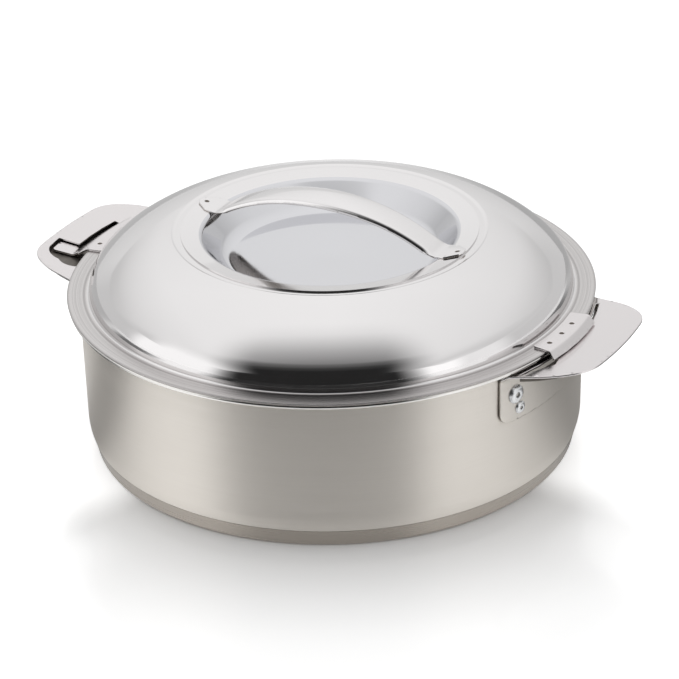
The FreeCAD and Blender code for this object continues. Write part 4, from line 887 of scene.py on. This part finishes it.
ACROSS = np.linspace(0, 13, 131)    # lengths across half of the flat strip
strap_sections = []
strap_edge = []
for x, z, angle in strap_line:
    rolled = 1 - smooth_step(abs(x), *ROLL_ENDS)
    spread = (1 - math.cos(math.pi * min(abs(x) / (CUP_MOUTH - STRAP_BEND / 2), 1))) / 2
    half = STRAP_HALF + (FOOT_HALF - STRAP_HALF) * spread
    crown = STRAP_CROWN * (1 - spread) + 0.02
    from_tip = STRAP_TIP - abs(x)
    if from_tip < TIP_ROUND:
        inside = from_tip / TIP_ROUND
        share = TIP_HALF / FOOT_HALF * math.sqrt(min(1.0, 0.1 + inside * 5))
        half *= share + (1 - share) * inside ** 1.2
    roll_from = half - STRAP_ROLL * rolled
    last = crown + (math.radians(88) - crown) * rolled
    tilt = np.where(ACROSS < roll_from, crown * ACROSS / roll_from,
                    np.minimum(crown + (ACROSS - roll_from) / STRAP_ROLL, last))
    middle = (tilt[1:] + tilt[:-1]) / 2
    step = ACROSS[1]
    y = np.concatenate([[0], np.cumsum(np.cos(middle) * step)])
    fall = np.concatenate([[0], np.cumsum(np.sin(middle) * step)])
    top = STRAP_ROOM * rolled + (STRAP_SHEET - 0.18) * (1 - rolled)
    strap_sections.append((y, top - fall, tilt))
    strap_edge.append(roll_from + (STRAP_ROLL * last + STRAP_LIP) * rolled + (half - roll_from) * (1 - rolled))
strap_sections = np.array(strap_sections)


def strap_surface(flat, depth):
    """Places on the strap from lengths along it and across it."""
    row = np.interp(flat[:, 0], strap_along, np.arange(len(strap_along)))
    column = np.abs(flat[:, 1]) / ACROSS[1]
    row_low = np.clip(row.astype(int), 0, len(strap_along) - 2)
    column_low = np.clip(column.astype(int), 0, len(ACROSS) - 2)
    u, v = row - row_low, column - column_low
    corners = ((0, 0, (1 - u) * (1 - v)), (1, 0, u * (1 - v)), (0, 1, (1 - u) * v), (1, 1, u * v))
    y, up, tilt = (sum(strap_sections[row_low + i, part, column_low + j] * weight for i, j, weight in corners)
                   for part in range(3))
    x, z, angle = (np.interp(row, np.arange(len(strap_line)), strap_line[:, part]) for part in range(3))
    side = np.where(flat[:, 1] < 0, -1.0, 1.0)
    y = (y - depth * np.sin(tilt)) * side
    up = up - depth * np.cos(tilt)
    return np.stack([x - np.sin(angle) * up, y, z + np.cos(angle) * up], 1)


strap_points = [(along, -edge) for along, edge in zip(strap_along, strap_edge)]
strap_points += [(along, edge) for along, edge in reversed(list(zip(strap_along, strap_edge)))]
WELD_FROM_TIP = 3.5
weld_along = float(np.interp(STRAP_TIP - WELD_FROM_TIP, strap_line[:, 0], strap_along))
strap_welds = [(-weld_along, 0.0), (weld_along, 0.0)]
welded_strap = with_welds(strap_surface, strap_welds, STRAP_SHEET)
strap = pressed_sheet("strap_arch", [loop_points(strap_points)], welded_strap, STRAP_SHEET, mirror_steel, "lid",
                      welds=strap_welds, pitch=0.8)
FACES_DOWN = -0.05      # a normal's height below which a face belongs to the back
# Faces turned down get the painted shade.
repaint(strap, strap_back_painted_shade, lambda face: face.normal.z < FACES_DOWN)
mark_welds(strap, strap_surface, strap_welds)
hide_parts("strap_handle")

# ---------------------------------------------------------------- table and background
# A white glossy table top and a plain white studio. The metal also sees dark cards and light boxes.
VIEW_TURN = 29.0    # the handles' axis lies this many degrees round from the front
WHITE = colour("#FFFFFF")


def maths(tree, operation, *values):
    """Works out an operation on numbers and other nodes' outputs."""
    return node(tree, "ShaderNodeMath", {"operation": operation},
                **{"n%d" % number: value for number, value in enumerate(values)})


def blend(tree, share, first, second):
    """A number that goes from a first to a second, which can be other nodes' outputs."""
    return node(tree, "ShaderNodeMix", {"data_type": "FLOAT"}, Factor=share, n2=first, n3=second)


def window(tree, value, low, high, soft):
    """1 where a value lies between low and high, with soft edges."""
    rise, fall = (node(tree, "ShaderNodeMapRange", {"interpolation_type": "SMOOTHSTEP"}, Value=value,
                       From_Min=edge - soft, From_Max=edge + soft, To_Min=before, To_Max=1.0 - before)
                  for edge, before in ((low, 0.0), (high, 1.0)))
    return maths(tree, "MULTIPLY", rise, fall)


def patch(tree, azimuth, azimuths, other, limits, softness, unit):
    """1 inside a soft-edged patch, between azimuths in degrees and limits of another value in its unit."""
    across = window(tree, azimuth, *(math.radians(angle) for angle in (*azimuths, softness[0])))
    along = window(tree, other, *(limit * unit for limit in (*limits, softness[1])))
    return maths(tree, "MULTIPLY", across, along)


def round_the_pot(tree, place):
    """The parts of a place or a direction as seen from the front of the studio, and its azimuth from
    there, which grows to the right."""
    turned = node(tree, "ShaderNodeMapping", {"vector_type": "POINT"}, Vector=place,
                  Rotation=(0, 0, -math.radians(VIEW_TURN)))
    parts = node(tree, "ShaderNodeSeparateXYZ", Vector=turned).outputs
    return parts, maths(tree, "ARCTAN2", parts["X"], maths(tree, "MULTIPLY", parts["Y"], -1.0))


def glowing(name):
    """A material without its usual shader, and its node tree."""
    made = bpy.data.materials.new(name)
    made.use_nodes = True
    made.node_tree.nodes.remove(made.node_tree.nodes["Principled BSDF"])
    return made, made.node_tree


# White lacquered board. Where it is looked at directly, a glow of painted light whitens it away from the pot
# and at its sides, over the pot's shadow there.
# The rest shows only in reflections: it glows a little more close in front of the pot, grey cards stand for the
# studio's dark sides and back, and a black cloth lies in front, under the camera.
table_top, tree = glowing("glossy_white_table")
light_path = node(tree, "ShaderNodeLightPath")
reflection, direct = light_path.outputs["Is Glossy Ray"], light_path.outputs["Is Camera Ray"]
azimuth = round_the_pot(tree, node(tree, "ShaderNodeTexCoord").outputs["Object"])[1]
away = from_axis(tree)


def sector(azimuths, reach, softness, strength, rays):
    """A soft-edged part of the table for one kind of rays, in degrees and millimetres."""
    seen = maths(tree, "MULTIPLY", patch(tree, azimuth, azimuths, away, reach, softness, MM), rays)
    return maths(tree, "MULTIPLY", seen, strength)


WHITE_FROM, WHITE_TO, WHITE_LIFT = 128.0, 200.0, 0.17
# each sector: azimuths, distances from the axis, softness of both, and its strength
SIDE_LIFTS = (((57, 135), (0, 400), (7, 60), 0.45), ((42, 60), (150, 400), (8, 14), 0.12))
NEAR_GLOW = ((-60, 60), (0, 300), (20, 60), 0.5)
# and the same with the card's brightness at the end
TABLE_CARDS = (((-106, -80), (0, 900), (8, 100), 0.9, 0.1), ((76, 130), (0, 900), (14, 100), 0.85, 0.08),
               ((134, 172), (300, 4000), (10, 80), 0.75, 0.3), ((-174, -114), (300, 4000), (8, 80), 0.75, 0.4),
               ((-51.5, 36), (450, 4000), (9, 80), 1.0, 0.03))
GLOSS_SEEN, GLOSS_REFLECTED, GLOSS_ROUGHNESS = 0.09, 0.5, 0.12
lift = node(tree, "ShaderNodeMapRange", Value=away, From_Min=WHITE_FROM * MM, From_Max=WHITE_TO * MM,
            To_Max=WHITE_LIFT)
glow = maths(tree, "MULTIPLY_ADD", lift, direct, sector(*NEAR_GLOW, reflection))
# The glow for direct view is painted light: it whitens the table over the pot's shadow at the sides.
for side in (-1, 1):
    for azimuths, reach, softness, more in SIDE_LIFTS:
        here = sorted(side * angle for angle in azimuths)
        glow = maths(tree, "ADD", glow, sector(here, reach, softness, more, direct))
matt = node(tree, "ShaderNodeBsdfDiffuse", Color=colour("#FAFAFA"))
light = node(tree, "ShaderNodeEmission", Color=WHITE, Strength=glow)
lit = node(tree, "ShaderNodeAddShader", n0=matt, n1=light)
gloss = node(tree, "ShaderNodeBsdfGlossy", Color=WHITE, Roughness=GLOSS_ROUGHNESS)
board = node(tree, "ShaderNodeMixShader", Fac=blend(tree, reflection, GLOSS_SEEN, GLOSS_REFLECTED),
             n1=lit, n2=gloss)
for azimuths, reach, softness, strength, grey in TABLE_CARDS:
    sheet = node(tree, "ShaderNodeEmission", Color=WHITE, Strength=grey)
    board = node(tree, "ShaderNodeMixShader", Fac=sector(azimuths, reach, softness, strength, reflection),
                 n1=board, n2=sheet)
wire(tree, board, tree.nodes["Material Output"].inputs["Surface"])

TABLE_HALF = 4.0    # metres
mesh = bpy.data.meshes.new("table")
mesh.from_pydata([(x * TABLE_HALF, y * TABLE_HALF, 0) for x, y in ((-1, -1), (1, -1), (1, 1), (-1, 1))],
                 [], [(0, 1, 2, 3)])
mesh.materials.append(table_top)
made = put_in_scene("table", mesh)

# A wide softbox over the table, seen only in reflections. It is dimmer towards its sides and its
# back, and a dark hood hangs before its front. The hood's edges fan out from a point behind the lid,
# and beside it the front is brighter at both sides. Each list holds places in mm with their shades.
BOX_HALF, BOX_FRONT, BOX_BACK, BOX_HEIGHT, BOX_STEP = 720.0, -640.0, 900.0, 350.0, 20.0
SIDE_SHADES = ((-720, 0.68), (-560, 0.72), (-400, 0.85), (-240, 0.96), (0, 1.0), (160, 0.93), (320, 0.87),
               (480, 0.74), (640, 0.68))
BACK_SHADES = ((160, 1.0), (720, 0.9))
HOOD_SHADES = ((-400, 0.98), (-320, 0.95), (-240, 0.84), (-160, 0.52), (-80, 0.1), (-30, 0.0))
HOOD_FAN, HOOD_LEFT, HOOD_RIGHT = 100.0, (28, 52), (18, 42)
KEY_LEFT, KEY_RIGHT = ((-720, 0.45), (-560, 0.38), (-400, 0.12), (-320, 0.0)), ((480, 0.0), (720, 0.3))


def box_glow(x, y):
    """The softbox's brightness at a place on its cloth."""
    glow = np.interp(x, *zip(*SIDE_SHADES)) * np.interp(y, *zip(*BACK_SHADES))
    glow += np.interp(x, *zip(*KEY_LEFT)) * smooth_step(-y, -40, 160)
    glow += np.interp(x, *zip(*KEY_RIGHT)) * smooth_step(-y, 100, 560)
    fan = math.degrees(math.atan2(abs(x), HOOD_FAN - y))
    beside_hood = smooth_step(fan, *(HOOD_LEFT if x < 0 else HOOD_RIGHT))
    return float(glow * (1 - np.interp(y, *zip(*HOOD_SHADES)) * (1 - beside_hood)))


rows, columns = int((BOX_BACK - BOX_FRONT) / BOX_STEP) + 1, int(BOX_HALF * 2 / BOX_STEP) + 1
grid = [(BOX_STEP * column - BOX_HALF, BOX_FRONT + BOX_STEP * row)
        for row in range(rows) for column in range(columns)]
squares = [(at, at + columns, at + columns + 1, at + 1)
           for at in range(columns * (rows - 1)) if at % columns < columns - 1]
turn_round = Matrix.Rotation(math.radians(VIEW_TURN), 4, "Z")
mesh = bpy.data.meshes.new("softbox")
mesh.from_pydata([turn_round @ Vector((x, y, BOX_HEIGHT)) * MM for x, y in grid], [], squares)
mesh.attributes.new("glow", "FLOAT", "POINT").data.foreach_set("value", [box_glow(x, y) for x, y in grid])
box_light, tree = glowing("softbox_cloth")
level = node(tree, "ShaderNodeAttribute", {"attribute_name": "glow"})
light = node(tree, "ShaderNodeEmission", Color=WHITE, Strength=level.outputs["Fac"])
wire(tree, light, tree.nodes["Material Output"].inputs["Surface"])
mesh.materials.append(box_light)
softbox = put_in_scene("softbox", mesh)
for ray in ("camera", "diffuse", "transmission", "volume_scatter", "shadow"):
    setattr(softbox, "visible_" + ray, False)

# The room: grey, lighter overhead, with bright light boxes on both sides of a black card in front
# and grey cards at the back's corners. What lights matt things comes a little more from behind.
world = bpy.data.worlds.new("studio")
bpy.context.scene.world = world
world.use_nodes = True
tree = world.node_tree
parts, azimuth = round_the_pot(tree, node(tree, "ShaderNodeTexCoord").outputs["Generated"])
height = maths(tree, "ARCSINE", parts["Z"])
HORIZON, SKY_STOPS = 0.7, ((0.35, 0.84), (0.7, 0.92))    # heights in radians, and brightness; white from 1.0
# each card: azimuths, elevations, softness of both, and its brightness
ROOM_CARDS = (((86, 156), (-95, 27), (8, 14), 0.66), ((-146, -104), (-95, 30), (8, 12), 0.65),
              ((-101, -52), (-95, 41), (5, 9), 1.12), ((60, 84), (-95, 30), (8, 12), 0.95),
              ((40, 60), (-95, 30), (6, 12), 1.2), ((-51.5, 36), (-95, 62), (9, 4), 0.02))
ROOM_LEVEL, FROM_BEHIND = 1.05, 0.55
shades = node(tree, "ShaderNodeValToRGB", Fac=height)
shades.color_ramp.elements[0].color = (HORIZON, HORIZON, HORIZON, 1)
for position, value in SKY_STOPS:
    shades.color_ramp.elements.new(position).color = (value, value, value, 1)
sky = node(tree, "ShaderNodeSeparateColor", Color=shades)
for azimuths, heights, softness, value in ROOM_CARDS:
    sky = blend(tree, patch(tree, azimuth, azimuths, height, heights, softness, math.radians(1)), sky, value)
for_matt = maths(tree, "MULTIPLY_ADD", parts["Y"], FROM_BEHIND, ROOM_LEVEL)
glossy = node(tree, "ShaderNodeLightPath").outputs["Is Glossy Ray"]
background = tree.nodes["Background"].inputs
wire(tree, WHITE, background["Color"])
wire(tree, blend(tree, glossy, for_matt, sky), background["Strength"])

# ---------------------------------------------------------------- camera
# A long lens in front of the pot that looks down by about 27 degrees, tipped by a degree and a half.
LENS_PIXELS, FRAME_PIXELS, SENSOR = 3000.0, 679.0, 36.0
CAMERA_PLACE = (0.0, -10.7632 * BODY_RADIUS, 5.77293 * BODY_RADIUS)
PITCH, YAW, ROLL = 0.463715, -0.0025028, -0.0262605
camera = put_in_scene("camera", bpy.data.cameras.new("camera"))
camera.data.sensor_width = SENSOR
camera.data.lens = LENS_PIXELS / FRAME_PIXELS * SENSOR
camera.data.clip_end = 20
camera.data.dof.use_dof = False
camera.matrix_world = (turn_round @ Matrix.Translation(Vector(CAMERA_PLACE) * MM) @ Matrix.Rotation(YAW, 4, "Z")
                       @ Matrix.Rotation(math.pi / 2 - PITCH, 4, "X") @ Matrix.Rotation(ROLL, 4, "Z"))
bpy.context.scene.camera = camera
bpy.context.scene.view_settings.view_transform = "Standard"
